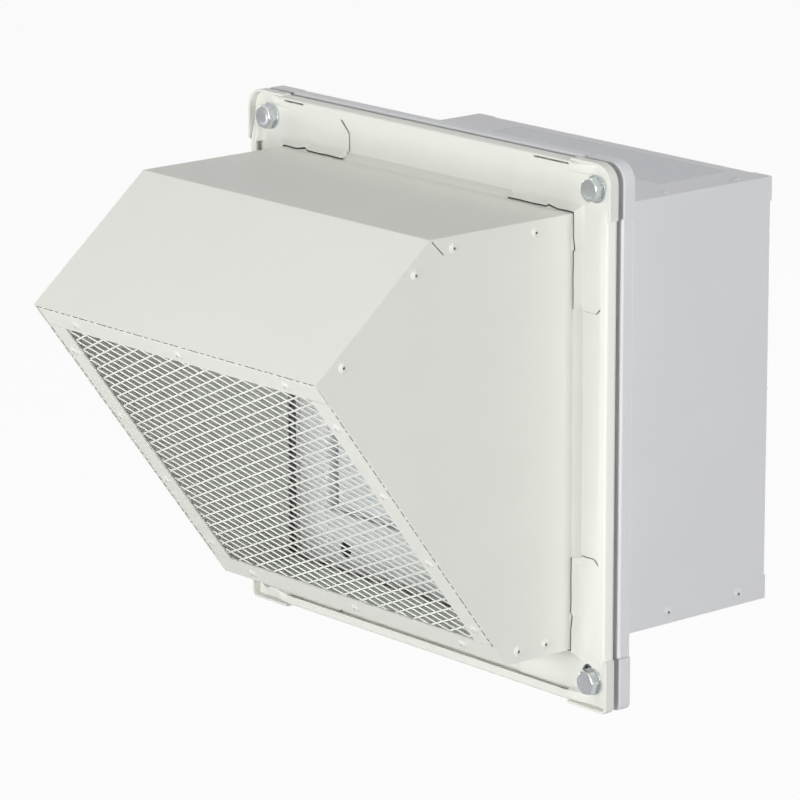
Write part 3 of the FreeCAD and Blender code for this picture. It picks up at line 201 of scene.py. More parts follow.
class StudioSettings(bpy.types.PropertyGroup):
    azimuth: angle("Azimuth", "Direction of the camera, to the right of the front", 49.325)
    elevation: angle("Elevation", "Height of the camera as an angle", 14.293)
    roll: angle("Roll", "Lean of the camera", -0.117)
    distance: length("Distance", "Distance of the camera from its aim", 2849.06)
    shift_right: length("Aim right", "How far the aim lies right of the object's middle", 19.06)
    shift_up: length("Aim up", "How far the aim lies over the object's middle", 5.65)
    joint_plane: length("Joint plane", "How far the joint of the flanges lies in front of the wall", 10.75)
    lens: FloatProperty(name="Lens", description="Focal length in millimetres", default=217.9, min=1)
    floor_drop: length("Floor", "How far the floor lies below the fan's axis", 400)
    ambient: brightness("Ambient", "Level of the even light", 0.10)
    key: brightness("Key", "Level of the front light", 0.64)
    fill: brightness("Fill", "Level of the right-hand light", 0.48)
    top: brightness("Top", "Level of the light overhead", 0.26)
    back: brightness("Back", "Level of the light behind", 0.45)
    left: brightness("Left", "Level of the left-hand light", 0.20)
    floor_colour: colour("Floor", "Colour of the matt floor", "#D0D0D0")


class WallFanSettings(bpy.types.PropertyGroup):
    sheet: PointerProperty(type=SheetSettings)
    mesh: PointerProperty(type=MeshSettings)
    fasteners: PointerProperty(type=FastenerSettings)
    guard: PointerProperty(type=GuardSettings)
    seam: PointerProperty(type=SeamSettings)
    sticker: PointerProperty(type=StickerSettings)
    studio: PointerProperty(type=StudioSettings)


def add(tree, kind, settings=None, values=None, links=None):
    """Add a shader node with its settings, socket values and incoming links."""
    node = tree.nodes.new("ShaderNode" + kind)
    for name, value in (settings or {}).items():
        setattr(node, name, value)
    for socket, value in (values or {}).items():
        node.inputs[socket].default_value = value
    for socket, source in (links or {}).items():
        tree.links.new(source, node.inputs[socket])
    return node


def surface(name, base, roughness, values=None, *, grain, spread=0.06, bump=()):
    """A material from a base colour, a (low, high) roughness and noise sizes in millimetres.

    grain is the size of the patches in which colour and roughness vary by spread, and bump is a list of
    (size, height) pairs in millimetres.
    """
    material = bpy.data.materials.get(name)
    if material:
        return material
    material = bpy.data.materials.new(name)
    material.use_nodes = True
    tree = material.node_tree
    tree.nodes.clear()
    place = add(tree, "TexCoord").outputs["Object"]
    patches = add(tree, "TexNoise", values={"Scale": 1 / (grain * MM), "Detail": 4}, links={"Vector": place})
    # Nearly all values of the noise lie in this range.
    usual = {"From Min": 0.3, "From Max": 0.7}
    shade = add(tree, "MapRange", values={**usual, "To Min": 1 - spread, "To Max": 1},
                links={"Value": patches.outputs["Fac"]})
    tint = add(tree, "VectorMath", {"operation": "SCALE"}, {0: base[:3]}, {"Scale": shade.outputs["Result"]})
    gloss = add(tree, "MapRange", values={**usual, "To Min": roughness[0], "To Max": roughness[1]},
                links={"Value": patches.outputs["Fac"]})
    shader = add(tree, "BsdfPrincipled", values=values,
                 links={"Base Color": tint.outputs["Vector"], "Roughness": gloss.outputs["Result"]})
    height = None
    for size, high in bump:
        noise = add(tree, "TexNoise", values={"Scale": 1 / (size * MM), "Detail": 2}, links={"Vector": place})
        layer = add(tree, "Math", {"operation": "MULTIPLY_ADD"}, {1: high * MM, 2: 0},
                    {0: noise.outputs["Fac"]})
        if height:
            tree.links.new(height, layer.inputs[2])
        height = layer.outputs["Value"]
    if height:
        relief = add(tree, "Bump", values={"Strength": 1, "Distance": 1}, links={"Height": height})
        tree.links.new(relief.outputs["Normal"], shader.inputs["Normal"])
    add(tree, "OutputMaterial", links={"Surface": shader.outputs["BSDF"]})
    return material


def coats():
    """The finishes of the fan, by a short name."""
    sheet = bpy.context.scene.wall_fan.sheet
    peel = sheet.peel / MM
    wave = sheet.wave / MM
    # Polyester powder sprayed on sheet steel and baked: satin, with a fine orange peel that softens highlights
    # and slow waves of the sheet below it.
    hood = surface("Polyester powder coat warm white", sheet.hood_colour, (0.40, 0.48), grain=60, spread=0.012,
                   bump=[(peel, 0.008), (wave, 0.25)])
    # The same coat from a cooler batch on the casing.
    casing = surface("Polyester powder coat cool white", sheet.casing_colour, (0.40, 0.48), grain=60, spread=0.012,
                     bump=[(peel, 0.008), (wave, 0.25)])
    # Powder coat over expanded metal: it gathers in the corners, so it is a little rougher and uneven.
    mesh = surface("Powder coat on expanded metal", sheet.hood_colour, (0.45, 0.55), grain=8, spread=0.05,
                   bump=[(peel, 0.01)])
    # Coil-coated steel, painted flat before bending: smoother than powder and faintly blue. Its colour is set whiter
    # than a real coil coat as painted light, so that the damper in the hood's shade behind the mesh shows bright.
    coil = surface("Coil coat pale blue white brightened as painted light", sheet.damper_colour_painted_bright, (0.30, 0.38), grain=90, spread=0.015,
                   bump=[(wave, 0.2)])
    # The same coil coat on thin aluminium: a little duller, because the soft sheet is never quite flat. Its colour
    # too is set whiter than a real coat as painted light, so that the blades behind the mesh show bright.
    blade = surface("Coil coat on aluminium blade brightened as painted light", sheet.blade_colour_painted_bright, (0.38, 0.46), grain=70, spread=0.02,
                    bump=[(wave, 0.3)])
    return {"hood": hood, "casing": casing, "mesh": mesh, "coil": coil, "blade": blade}


def hardware():
    """The finishes of fasteners, motor and fittings, by a short name."""
    # Bright zinc plating on cold-formed steel: bluish silver, slightly cloudy.
    zinc = surface("Bright zinc plating", linear("#D3D7DA"), (0.20, 0.28), {"Metallic": 1}, grain=2.5, spread=0.03,
                   bump=[(0.8, 0.004)])
    # Broken steel wire of a blind rivet: dark, torn end.
    wire = surface("Broken rivet wire", linear("#6A6B6C"), (0.45, 0.6), {"Metallic": 1}, grain=0.4, spread=0.3,
                   bump=[(0.3, 0.03)])
    # Cathodic dip coat on steel: satin black.
    black = surface("Black dip coat", linear("#26272A"), (0.36, 0.46), grain=20, spread=0.12, bump=[(1.2, 0.006)])
    # Closed-cell rubber tape: matt, mid grey.
    rubber = surface("Closed-cell rubber tape", linear("#929290"), (0.8, 0.9), grain=1.5, spread=0.25,
                     bump=[(0.9, 0.05)])
    # Dark grey, dull and a little lumpy: painted shade, laid as thin strips in seams, slits and along the arm tips
    # where shade lines fall.
    painted_shade = surface("Dark grey painted shade for seams", linear("#3A3A38"), (0.7, 0.85), grain=3, spread=0.2, bump=[(2, 0.05)])
    # Ground bearing steel: smooth and bright.
    steel = surface("Ground bearing steel", linear("#BFC1C4"), (0.14, 0.22), {"Metallic": 1}, grain=3, spread=0.06)
    # Die-cast aluminium: pale grey skin with a fine grain from the die.
    cast = surface("Die-cast aluminium", linear("#B4B7BA"), (0.42, 0.55), {"Metallic": 1}, grain=5, spread=0.12,
                   bump=[(1.0, 0.02)])
    # Stacked electrical steel, punched and oiled: dark grey.
    core = surface("Stacked lamination steel", linear("#6C6E70"), (0.35, 0.5), {"Metallic": 1}, grain=2, spread=0.2)
    # Enamelled copper wire under clear varnish.
    copper = surface("Varnished copper winding", linear("#B5663A"), (0.25, 0.4), {"Metallic": 1}, grain=1.2,
                     spread=0.35, bump=[(0.9, 0.06)])
    # Moulded nylon: dark with a soft sheen.
    nylon = surface("Moulded black nylon", linear("#222326"), (0.45, 0.55), grain=4, spread=0.1, bump=[(0.8, 0.012)])
    # Moulded ABS with an eroded texture: mid grey, matt.
    plastic = surface("Moulded grey ABS", linear("#AEB1B4"), (0.5, 0.58), grain=12, spread=0.03,
                      bump=[(0.7, 0.012)])
    # Extruded PVC sheath: dark grey and dull.
    sheath = surface("Extruded PVC sheath", linear("#2B2C2E"), (0.5, 0.6), grain=6, spread=0.1, bump=[(1.5, 0.01)])
    return {"zinc": zinc, "wire": wire, "black": black, "rubber": rubber, "painted_shade": painted_shade, "steel": steel,
            "cast": cast, "core": core, "copper": copper, "nylon": nylon, "plastic": plastic, "sheath": sheath}


def dress(nodes, material):
    """Give CAD nodes a finish."""
    for name in nodes:
        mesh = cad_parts[name].data
        mesh.materials.clear()
        mesh.materials.append(material)


def soften(nodes, radius):
    """Round the cut edges of CAD nodes by a small radius, with the shape left as it is."""
    same_face = math.radians(0.5)
    sharp_edge = math.radians(35)
    for name in nodes:
        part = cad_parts[name]
        weld = part.modifiers.new("join split corners", "WELD")
        weld.merge_threshold = SAME_PLACE
        flat = part.modifiers.new("whole faces", "DECIMATE")
        flat.decimate_type = "DISSOLVE"
        flat.angle_limit = same_face
        bevel = part.modifiers.new("coated edges", "BEVEL")
        bevel.width = radius
        bevel.segments = 2
        bevel.limit_method = "ANGLE"
        bevel.angle_limit = sharp_edge
        bevel.use_clamp_overlap = True
        normals = part.modifiers.new("flat faces", "WEIGHTED_NORMAL")
        normals.keep_sharp = False


def piece(name, points, faces, material, slot, smooth=True, sharp=35):
    """A mesh piece that rides on the housing."""
    mesh = bpy.data.meshes.new(name)
    mesh.from_pydata([tuple(point) for point in points], [], faces)
    mesh.validate()
    made = bpy.data.objects.new(name, mesh)
    bpy.context.scene.collection.objects.link(made)
    mesh.materials.append(material)
    if smooth:
        mesh.shade_smooth()
        mesh.set_sharp_from_angle(angle=math.radians(sharp))
    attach(made, "housing")
    return made


def tube_faces(rings, around, first=0, closed=False):
    """Quads between rings of points that follow each other."""
    faces = []
    for k in range(rings if closed else rings - 1):
        a = first + k * around
        b = first + (k + 1) % rings * around
        for j in range(around):
            n = (j + 1) % around
            faces.append((a + j, a + n, b + n, b + j))
    return faces


def mesh_plane():
    """The mesh plate's outer face: middle of its top edge, down-slope direction, inward direction and length."""
    places = [vertex.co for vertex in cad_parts["bird_mesh"].data.vertices]
    top = min(places, key=lambda place: place.y)
    low = min(places, key=lambda place: place.z)
    run = Vector((0, low.y - top.y, low.z - top.z))
    down = run.normalized()
    return Vector((0, top.y, top.z)), down, X_AXIS.cross(down), run.length


def expanded_mesh(finish):
    """The bird mesh as slit and stretched sheet: leaning strands between bonds that stray a little."""
    size = bpy.context.scene.wall_fan.mesh
    top, down, inward, long = mesh_plane()
    middle = top + down * (long / 2) + inward * size.depth
    row = X_AXIS * math.cos(size.askew) - down * math.sin(size.askew)
    column = down * math.cos(size.askew) + X_AXIS * math.sin(size.askew)
    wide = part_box("bird_mesh")[1].x - size.margin
    high = long / 2 - size.margin
    columns = int(2 * wide / size.long_pitch) + 2
    rows = int(2 * high / size.short_pitch) + 2
    stations = 7
    # Share of the tilt that a strand has at its bonds.
    bond_lean = 0.45
    # Radians that the slow waves of the bonds turn by from one bond to the next.
    sway = (0.05, 0.21)
    creep = (0.13, 0.07)
    coat = 0.12 * MM
    sharp = 50

    def bond(i, j):
        across = i * size.long_pitch / 2 + size.wander * math.sin(sway[0] * i + sway[1] * j)
        along = j * size.short_pitch / 2 + size.wander * math.sin(creep[0] * i + creep[1] * j)
        return row * across + column * along

    points = []
    faces = []
    for i in range(-columns, columns):
        for j in range(-rows, rows + 1):
            for turn in (-1, 1):
                start = bond(i, j)
                end = bond(i + 1, j + turn)
                inside = all(abs(spot.x) < wide and abs(spot.dot(down)) < high for spot in (start, end))
                if (i + j) % 2 or not inside:
                    continue
                across = (end - start).normalized().cross(inward)
                if across.dot(down) < 0:
                    across = -across
                first = len(points)
                for k in range(stations):
                    share = k / (stations - 1)
                    lean = size.tilt * (bond_lean + (1 - bond_lean) * math.sin(math.pi * share))
                    flat = (across * math.cos(lean) - inward * math.sin(lean)) * (size.strand_width / 2)
                    face = (inward * math.cos(lean) + across * math.sin(lean)) * (size.strand_thick / 2)
                    centre = middle + start.lerp(end, share)
                    points += [centre - flat - face, centre + flat - face, centre + flat + face,
                               centre - flat + face]
                faces += tube_faces(stations, 4, first)
                last = first + 4 * (stations - 1)
                faces.append((first + 3, first + 2, first + 1, first))
                faces.append((last, last + 1, last + 2, last + 3))
    made = piece("expanded_bird_mesh", points, faces, finish, "white_mesh", sharp=sharp)
    soft = made.modifiers.new("coated strands", "BEVEL")
    soft.width = coat
    soft.segments = 1
    soft.angle_limit = math.radians(sharp)
    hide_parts("bird_mesh")


def rivet_places(node):
    """Outward direction and outer end of each rivet of a node, from its separate solids."""
    solid = bmesh.new()
    solid.from_mesh(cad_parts[node].data)
    bmesh.ops.remove_doubles(solid, verts=solid.verts, dist=SAME_PLACE)
    unseen = set(solid.verts)
    places = []
    centre = Vector((0, (cad_box[0][1] + cad_box[1][1]) / 2, 0))
    for seed in solid.verts:
        if seed not in unseen:
            continue
        unseen.discard(seed)
        group = [seed]
        for vertex in group:
            for edge in vertex.link_edges:
                other = edge.other_vert(vertex)
                if other in unseen:
                    unseen.discard(other)
                    group.append(other)
        cloud = numpy.array([vertex.co for vertex in group])
        middle = Vector(cloud.min(axis=0) + cloud.max(axis=0)) / 2
        spread = numpy.cov((cloud - cloud.mean(axis=0)).T)
        values, vectors = numpy.linalg.eigh(spread)
        # A round solid spreads alike in two directions; its axis is the third.
        odd = 0 if values[1] - values[0] > values[2] - values[1] else 2
        axis = Vector(vectors[:, odd]).normalized()
        if axis.dot(middle - centre) < 0:
            axis.negate()
        reach = max((vertex.co - middle).dot(axis) for vertex in group)
        places.append((axis, middle + axis * reach))
    solid.free()
    return places


def rivet_pins(finish):
    """The broken steel pins that stay in the middle of blind rivets."""
    size = bpy.context.scene.wall_fan.fasteners
    around = 12
    # Share of the pin's radius and height in millimetres, from its foot to the hollow of its torn end.
    profile = ((1.0, -2.2), (1.0, -0.16), (0.72, 0.0), (0.3, -0.10))
    foot = profile[0][1]
    torn = 0.05
    lobes = 3
    # Radians per metre across the fan, so that each pin is torn its own way.
    stray = 900
    for node in RIVET_NODES:
        points = []
        faces = []
        for axis, end in rivet_places(node):
            turn = Z_AXIS.rotation_difference(axis).to_matrix()
            first = len(points)
            for share, high in profile:
                for k in range(around):
                    turned = 2 * math.pi * k / around
                    ragged = torn * math.sin(lobes * turned + end.x * stray) * (high > foot)
                    spot = Vector((math.cos(turned), math.sin(turned), 0)) * (share * size.mandrel_radius)
                    spot.z = (high + ragged) * MM - size.mandrel_sunk
                    points.append(end + turn @ spot)
            faces += tube_faces(len(profile), around, first)
            last = first + around * (len(profile) - 1)
            faces.append(tuple(range(last, last + around)))
        piece(node + "_pins", points, faces, finish, "zinc_plated_steel")


def hexagon_reach(turn, flats):
    """Distance from the middle of a hexagon to its side in one direction."""
    sixth = math.pi / 3
    return flats / 2 / math.cos((turn + sixth / 2) % sixth - sixth / 2)


def bolt_shape(size, head_at, tip_at):
    """Points and faces of one bolt along +Y: bevelled hexagon head, plain neck and a rolled thread."""
    around = 48
    bearing = size.head_flats / 2
    top = head_at - size.head_high
    # Share of the head's inner radius and depth in millimetres, over the shallow dish in its face.
    dish = ((0.30, 0.22), (0.62, 0.20), (0.74, 0.02), (0.90, 0.0))
    # Depths in millimetres at which the cone of the bevel cuts the hexagon.
    bevel = (0.0, 0.12, 0.28, 0.45, 0.62, 0.8)
    bevel_slope = math.tan(math.radians(60))
    bevel_share = 0.955
    under_share = 1.06
    under_high = 0.25 * MM
    neck = size.bolt_radius - 0.05 * MM
    thread_at = head_at + 6 * MM
    turn_steps = 8
    groove_slope = 1.25
    point_long = 1.2 * MM
    point_slope = 0.7
    points = []

    def turn_ring(y, reach):
        for k in range(around):
            turned = 2 * math.pi * k / around
            away = reach(turned)
            points.append(Vector((away * math.cos(turned), y, away * math.sin(turned))))

    for share, sink in dish:
        turn_ring(top + sink * MM, lambda turned: share * bearing)
    for sink in bevel:
        cone = bevel_share * bearing + sink * MM * bevel_slope
        turn_ring(top + sink * MM, lambda turned: min(cone, hexagon_reach(turned, size.head_flats)))
    turn_ring(head_at - under_high, lambda turned: hexagon_reach(turned, size.head_flats))
    turn_ring(head_at, lambda turned: min(hexagon_reach(turned, size.head_flats), under_share * bearing))
    turn_ring(head_at, lambda turned: neck)
    turn_ring(thread_at, lambda turned: neck)
    steps = int((tip_at - thread_at) / size.thread_pitch * turn_steps)
    for step in range(1, steps + 1):
        y = thread_at + (tip_at - thread_at) * step / steps

        def thread(turned):
            phase = ((y - thread_at) / size.thread_pitch - turned / (2 * math.pi)) % 1
            groove = max(0.0, 1 - abs(2 * phase - 1) * groove_slope)
            lead = min(1.0, (y - thread_at) / size.thread_pitch)
            tip = max(0.0, point_long - (tip_at - y)) * point_slope
            return min(neck - size.thread_deep * groove * lead, size.bolt_radius - tip)

        turn_ring(y, thread)
    faces = [face[::-1] for face in tube_faces(len(points) // around, around)]
    faces.append(tuple(range(around)))
    faces.append(tuple(reversed(range(len(points) - around, len(points)))))
    return points, faces


def threaded_bolts(finish):
    """The flange bolts with formed heads and threads, in the place of the plain CAD bolts."""
    size = bpy.context.scene.wall_fan.fasteners
    low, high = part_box("flange_bolts")
    half = size.spacing / 2
    shape, sides = bolt_shape(size, low.y + size.head_high, high.y)
    # Each head stops at its own angle in degrees, as tightened bolts do.
    turns = {(1, 1): 12, (-1, 1): 41, (1, -1): 24, (-1, -1): 3}
    points = []
    faces = []
    for (side, level), degrees in turns.items():
        turn = Matrix.Rotation(math.radians(degrees), 3, "Y")
        first = len(points)
        points += [turn @ point + Vector((side * half, 0, level * half)) for point in shape]
        faces += [tuple(first + k for k in face) for face in sides]
    made = piece("threaded_flange_bolts", points, faces, finish, "zinc_plated_steel", sharp=24)
    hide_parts("flange_bolts")


def wire_ring(radius, wire, y, points, faces):
    """Add one round wire ring about the fan's axis."""
    rings = 120
    around = 12
    first = len(points)
    for k in range(rings):
        turned = 2 * math.pi * k / rings
        out = Vector((math.sin(turned), 0, math.cos(turned)))
        for j in range(around):
            lean = 2 * math.pi * j / around
            points.append(out * (radius + wire * math.cos(lean)) + Y_AXIS * (y + wire * math.sin(lean)))
    faces += tube_faces(rings, around, first, closed=True)


def wire_guard(finish):
    """The inlet guard in round wire: rim, rings and spokes pressed into them where they are welded."""
    size = bpy.context.scene.wall_fan.guard
    low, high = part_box("inlet_guard")
    rim = high.x - size.rim_wire
    middle = high.y - size.rim_wire
    points = []
    faces = []
    wire_ring(rim, size.rim_wire, middle, points, faces)
    for k in range(1, size.rings + 1):
        wire_ring(rim - k * size.ring_pitch, size.ring_wire, middle, points, faces)
    around = 12
    inner = rim - size.rings * size.ring_pitch - 2 * size.ring_wire
    spoke_y = low.y + size.ring_wire
    # Distance from the axis and share of the wire's radius: a spoke's inner end is rounded off.
    stations = ((inner, 0.55), (inner + 0.4 * MM, 0.9), (inner + 0.9 * MM, 1.0), (rim, 1.0))
    for k in range(size.spokes):
        turned = 2 * math.pi * (k + 0.5) / size.spokes
        out = Vector((math.sin(turned), 0, math.cos(turned)))
        side = out.cross(Y_AXIS)
        first = len(points)
        for reach, share in stations:
            for j in range(around):
                lean = 2 * math.pi * j / around
                ring = side * math.cos(lean) + Y_AXIS * math.sin(lean)
                points.append(out * reach + Y_AXIS * spoke_y + ring * (share * size.ring_wire))
        faces += tube_faces(len(stations), around, first)
        faces.append(tuple(reversed(range(first, first + around))))
    made = piece("round_wire_guard", points, faces, finish, "black_paint")
    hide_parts("inlet_guard")


def sheet_strip(rows, points, faces):
    """Add a strip of quads through rows of points."""
    first = len(points)
    wide = len(rows[0])
    for row in rows:
        points += row
    for k in range(len(rows) - 1):
        for j in range(wide - 1):
            a = first + k * wide + j
            faces.append((a, a + 1, a + wide + 1, a + wide))


def strand_ends(finish):
    """Cut ends of the mesh's strands that show in the slits between the border strips and the hood's sides."""
    size = bpy.context.scene.wall_fan.seam
    top, down, inward, long = mesh_plane()
    # The ends start under the strip and run a little way into the wall.
    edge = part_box("mesh_strip_right")[1].x - 0.6 * MM
    wall = size.wall - SHEET + 0.05 * MM
    proud = 0.97 * MM
    thick = 0.5 * MM
    taper = 0.7
    points = []
    faces = []
    for side in (-1, 1):
        for k in range(int((long - SLIT_TOP - SLIT_LOW) / size.bit_pitch)):
            # No two cuts are alike: each end is a little off its even place and longer or shorter.
            stray = 0.9 * MM * math.sin(k * 2.4 + side)
            tall = (1.0 + 0.35 * math.sin(k * 1.7)) * MM
            spot = top + down * (SLIT_TOP + k * size.bit_pitch + stray) - inward * proud
            first = len(points)
            for deep in (0, thick):
                for along, out in ((-tall, edge), (tall, edge), (taper * tall, wall), (-taper * tall, wall)):
                    points.append(spot + down * along + X_AXIS * side * out + inward * deep)
            faces += tube_faces(2, 4, first)
            faces.append((first + 3, first + 2, first + 1, first))
    piece("mesh_strand_ends", points, faces, finish, "white_mesh", smooth=False)


def border_shade_lines(painted_shade):
    """Painted shade in the slits of the mesh border: a dark strip whole down the right side, broken into dashes
    along the canopy's edge.
    """
    size = bpy.context.scene.wall_fan.seam
    top, down, inward, long = mesh_plane()
    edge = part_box("mesh_strip_right")[1].x
    tuck = 0.3 * MM
    wall = size.wall - SHEET + 0.02 * MM
    proud = 0.9 * MM
    points = []
    faces = []
    rows = []
    for share in (SLIT_TOP, long - SLIT_LOW):
        spot = top + down * share - inward * proud
        rows.append([spot + X_AXIS * (edge - tuck), spot + X_AXIS * wall])
    sheet_strip(rows, points, faces)
    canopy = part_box("hood_canopy")[0].y
    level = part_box("mesh_strip_top")[1].z
    # The two long sides of the bead under the canopy's edge, as (y, z).
    bead = ((canopy + 0.67 * MM, level - 4.5 * MM), (canopy + 1.15 * MM, level - 5.1 * MM))
    for k in range(int(2 * edge / size.bit_pitch)):
        # Uneven dashes: each starts late by its own amount and fills about two thirds of its spacing.
        start = k * size.bit_pitch - edge + 0.6 * MM * (1 + math.sin(k * 2.1))
        stop = start + size.bit_pitch * (0.62 + 0.14 * math.sin(k * 1.3))
        sheet_strip([[Vector((x, y, z)) for y, z in bead] for x in (start, stop)], points, faces)
    piece("border_slit_painted_shade", points, faces, painted_shade, "gasket_rubber", smooth=False)


def tray_floor():
    """Where the fields of the hood's corner plates lie: at the back of the washers under the bolt heads."""
    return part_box("flange_washers")[0].y + bpy.context.scene.wall_fan.fasteners.washer


def strip_ends():
    """The turn and the side of each end of the four flange strips, seen from the top strip."""
    return [(Matrix.Rotation(number * math.pi / 2, 3, "Y"), side) for number in range(4) for side in (-1, 1)]


def end_rows(turn, side, stations):
    """Points of a strip end from (along, section) stations, mitred at the corner; a section lists (y, out)."""
    rows = [[turn @ Vector((side * min(along, out), y, out)) for y, out in section] for along, section in stations]
    return rows if side > 0 else rows[::-1]


def loose_edges(finish, painted_shade):
    """The sheet edges along the hood's walls near the flange corners: lifted and kinked, with a dark strip of
    painted shade across the gap between each edge and the wall.
    """
    size = bpy.context.scene.wall_fan.seam
    floor = tray_floor()
    foot = size.wall + size.flap
    steps = 72
    ease = 4
    bends = 8
    # Heights over the plates' fields of the cut edge, its top, the crest behind it, the dark strip of painted shade
    # and the wall's lip.
    edge_high, top_high, crest, bead_high, lip_high = (high * MM for high in (3.3, 3.7, 3.8, 3.4, 4.6))
    lip_foot = size.wall - 0.02 * MM
    edge_lean = 0.05 * MM
    edge_thick = 0.5 * MM
    # Size of the slope by which the CAD sheet runs from the field up to the wall.
    slope = 3 * MM
    # A kink starts sharply and runs out slowly, and the wall's lip follows it in part.
    kink_rise = 1.5 * MM
    kink_fall = 8.5 * MM
    follow = 0.8
    ripple = 0.1 * MM
    ripple_rate = 310
    sheet = [], []
    shade_gap = [], []
    for number, (turn, side) in enumerate(strip_ends()):
        flap = []
        lip = []
        bead = []
        for k in range(steps + 1):
            along = size.loose_from + (foot - size.loose_from) * k / steps
            past = along - size.kink_at
            kink = size.kink * max(0.0, min(past / kink_rise, 1 - (past - kink_rise) / kink_fall))
            if along < size.wall:
                kink += ripple * (1 + math.sin(along * ripple_rate + number))
            raised = min(1.0, k / ease)
            inner = size.wall + follow * kink
            edge = size.wall + size.lift + kink
            section = [(floor - edge_high, edge), (floor - top_high, edge + edge_lean)]
            for j in range(bends + 1):
                share = j / bends
                out = edge + edge_thick + (foot - edge - edge_thick) * share
                low = floor - max(0.0, size.wall + slope - out) - SKIN
                high = floor - crest * (1 - share) ** 2 - SKIN
                section.append((low + (high - low) * raised, out))
            flap.append((along, section))
            lip.append((along, [(floor - lip_high, lip_foot), (floor - bead_high, inner)]))
            bead.append((along, [(floor - bead_high, inner), (floor - edge_high, edge)]))
        sheet_strip(end_rows(turn, side, flap), *sheet)
        sheet_strip(end_rows(turn, side, lip), *sheet)
        sheet_strip(end_rows(turn, side, bead), *shade_gap)
    piece("loose_flange_edges", *sheet, finish, "white_powder_coat")
    piece("flange_seam_painted_shade", *shade_gap, painted_shade, "gasket_rubber")


def arm_tip_shade_lines(painted_shade):
    """Painted shade along the tips of the hood corner plates' arms: a thin dark strip where each tip's edge throws
    its shade line.
    """
    size = bpy.context.scene.wall_fan.seam
    leg = tray_floor() + SHEET - SKIN
    wide = size.arm_shade_width
    tip = size.arm_tip
    low = size.wall + 4.5 * MM
    high = size.wall + 26.4 * MM
    cut = high - size.arm_cut
    # How far the two runs of the bead overlap at the cut's corner, and the cut run's width, in bead widths.
    overlap = 0.4 * wide
    slant = 1.4 * wide
    points = []
    faces = []
    for turn, side in strip_ends():
        straight = [(tip, [(leg, low), (leg, cut)]), (tip - wide, [(leg, low), (leg, cut + overlap)])]
        sheet_strip(end_rows(turn, side, straight), points, faces)
        corner = [(tip, [(leg, cut), (leg, cut + slant)]), (tip + size.arm_cut, [(leg, high), (leg, high + slant)])]
        sheet_strip(end_rows(turn, side, corner), points, faces)
    piece("arm_tip_painted_shade", points, faces, painted_shade, "gasket_rubber", smooth=False)


def hem_ends(finish):
    """Pressed ramps in the hood corner plates that carry the strips' hems down to the plates' fields."""
    size = bpy.context.scene.wall_fan.seam
    floor = tray_floor() - SKIN
    hem_high = 4.95 * MM
    # Distance from the wall in millimetres and share of the height, across a hem.
    shape = ((22.6, 0), (23.1, 0.1), (23.7, 0.5), (24.3, 0.9), (25, 1), (28.4, 1), (29.6, 0.88), (30.2, 0.66),
             (30.6, 0))
    # The level strips end a little further from the corner than the upright ones.
    short = (1.3 * MM, 0.3 * MM)
    steps = 16
    points = []
    faces = []
    for number, (turn, side) in enumerate(strip_ends()):
        start = size.wall - short[number // 2 % 2]
        ramp = [(start, [(floor, size.wall + out * MM) for out, share in shape])]
        for k in range(steps + 1):
            fall = k / steps
            # Level at both ends of the ramp.
            rise = hem_high * (1 - fall * fall * (3 - 2 * fall))
            section = [(floor - share * rise, size.wall + out * MM) for out, share in shape]
            ramp.append((start + size.ramp * fall, section))
        sheet_strip(end_rows(turn, side, ramp), points, faces)
    piece("hem_end_ramps", points, faces, finish, "white_powder_coat")


def casing_laps(finish):
    """Short laps that close the casing's flange strips up to its corner plates."""
    size = bpy.context.scene.wall_fan.seam
    low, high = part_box("casing_right_panel")
    # The laps lie this far inside the strips' outer faces, and so inside the CAD box.
    sunk = 0.02 * MM
    bend = 1.8 * MM
    radius = bend - sunk
    bend_steps = 6
    inner = size.wall + 22 * MM
    back = -0.1 * MM
    section = [(low.y + sunk, inner)]
    for k in range(bend_steps + 1):
        turned = k / bend_steps * math.pi / 2
        section.append((low.y + bend - radius * math.cos(turned), high.x - bend + radius * math.sin(turned)))
    section.append((back, high.x - sunk))
    start = size.wall - 1.1 * MM
    stop = size.wall + 0.55 * MM
    points = []
    faces = []
    for turn, side in strip_ends():
        if side < 0:
            sheet_strip(end_rows(turn, side, [(start, section), (stop, section)]), points, faces)
    piece("casing_strip_laps", points, faces, finish, "white_powder_coat")


def blank_sticker():
    """A plain sticker on the casing's top, with nothing on it."""
    size = bpy.context.scene.wall_fan.sticker
    # Calendered vinyl film: smooth, faintly lilac and a little glossier than the coat.
    film = surface("Blank vinyl film", size.face_colour, (0.30, 0.36), grain=40, spread=0.02, bump=[(30, 0.02)])
    centre = Vector((size.right, size.behind, bpy.context.scene.wall_fan.seam.wall))
    sunk = 0.02 * MM
    corner_steps = 8
    outline = []
    for quarter, (right, behind) in enumerate(((1, 1), (-1, 1), (-1, -1), (1, -1))):
        corner = Vector((right * (size.wide / 2 - size.corner), behind * (size.deep / 2 - size.corner), 0))
        for k in range(corner_steps + 1):
            turned = (quarter + k / corner_steps) * math.pi / 2
            outline.append(centre + corner + Vector((math.cos(turned), math.sin(turned), 0)) * size.corner)
    around = len(outline)
    points = [spot - Z_AXIS * sunk for spot in outline]
    points += [spot + Z_AXIS * size.thick for spot in outline]
    faces = tube_faces(2, around)
    faces.append(tuple(range(around, 2 * around)))
    piece("blank_casing_sticker", points, faces, film, "white_powder_coat", smooth=False)


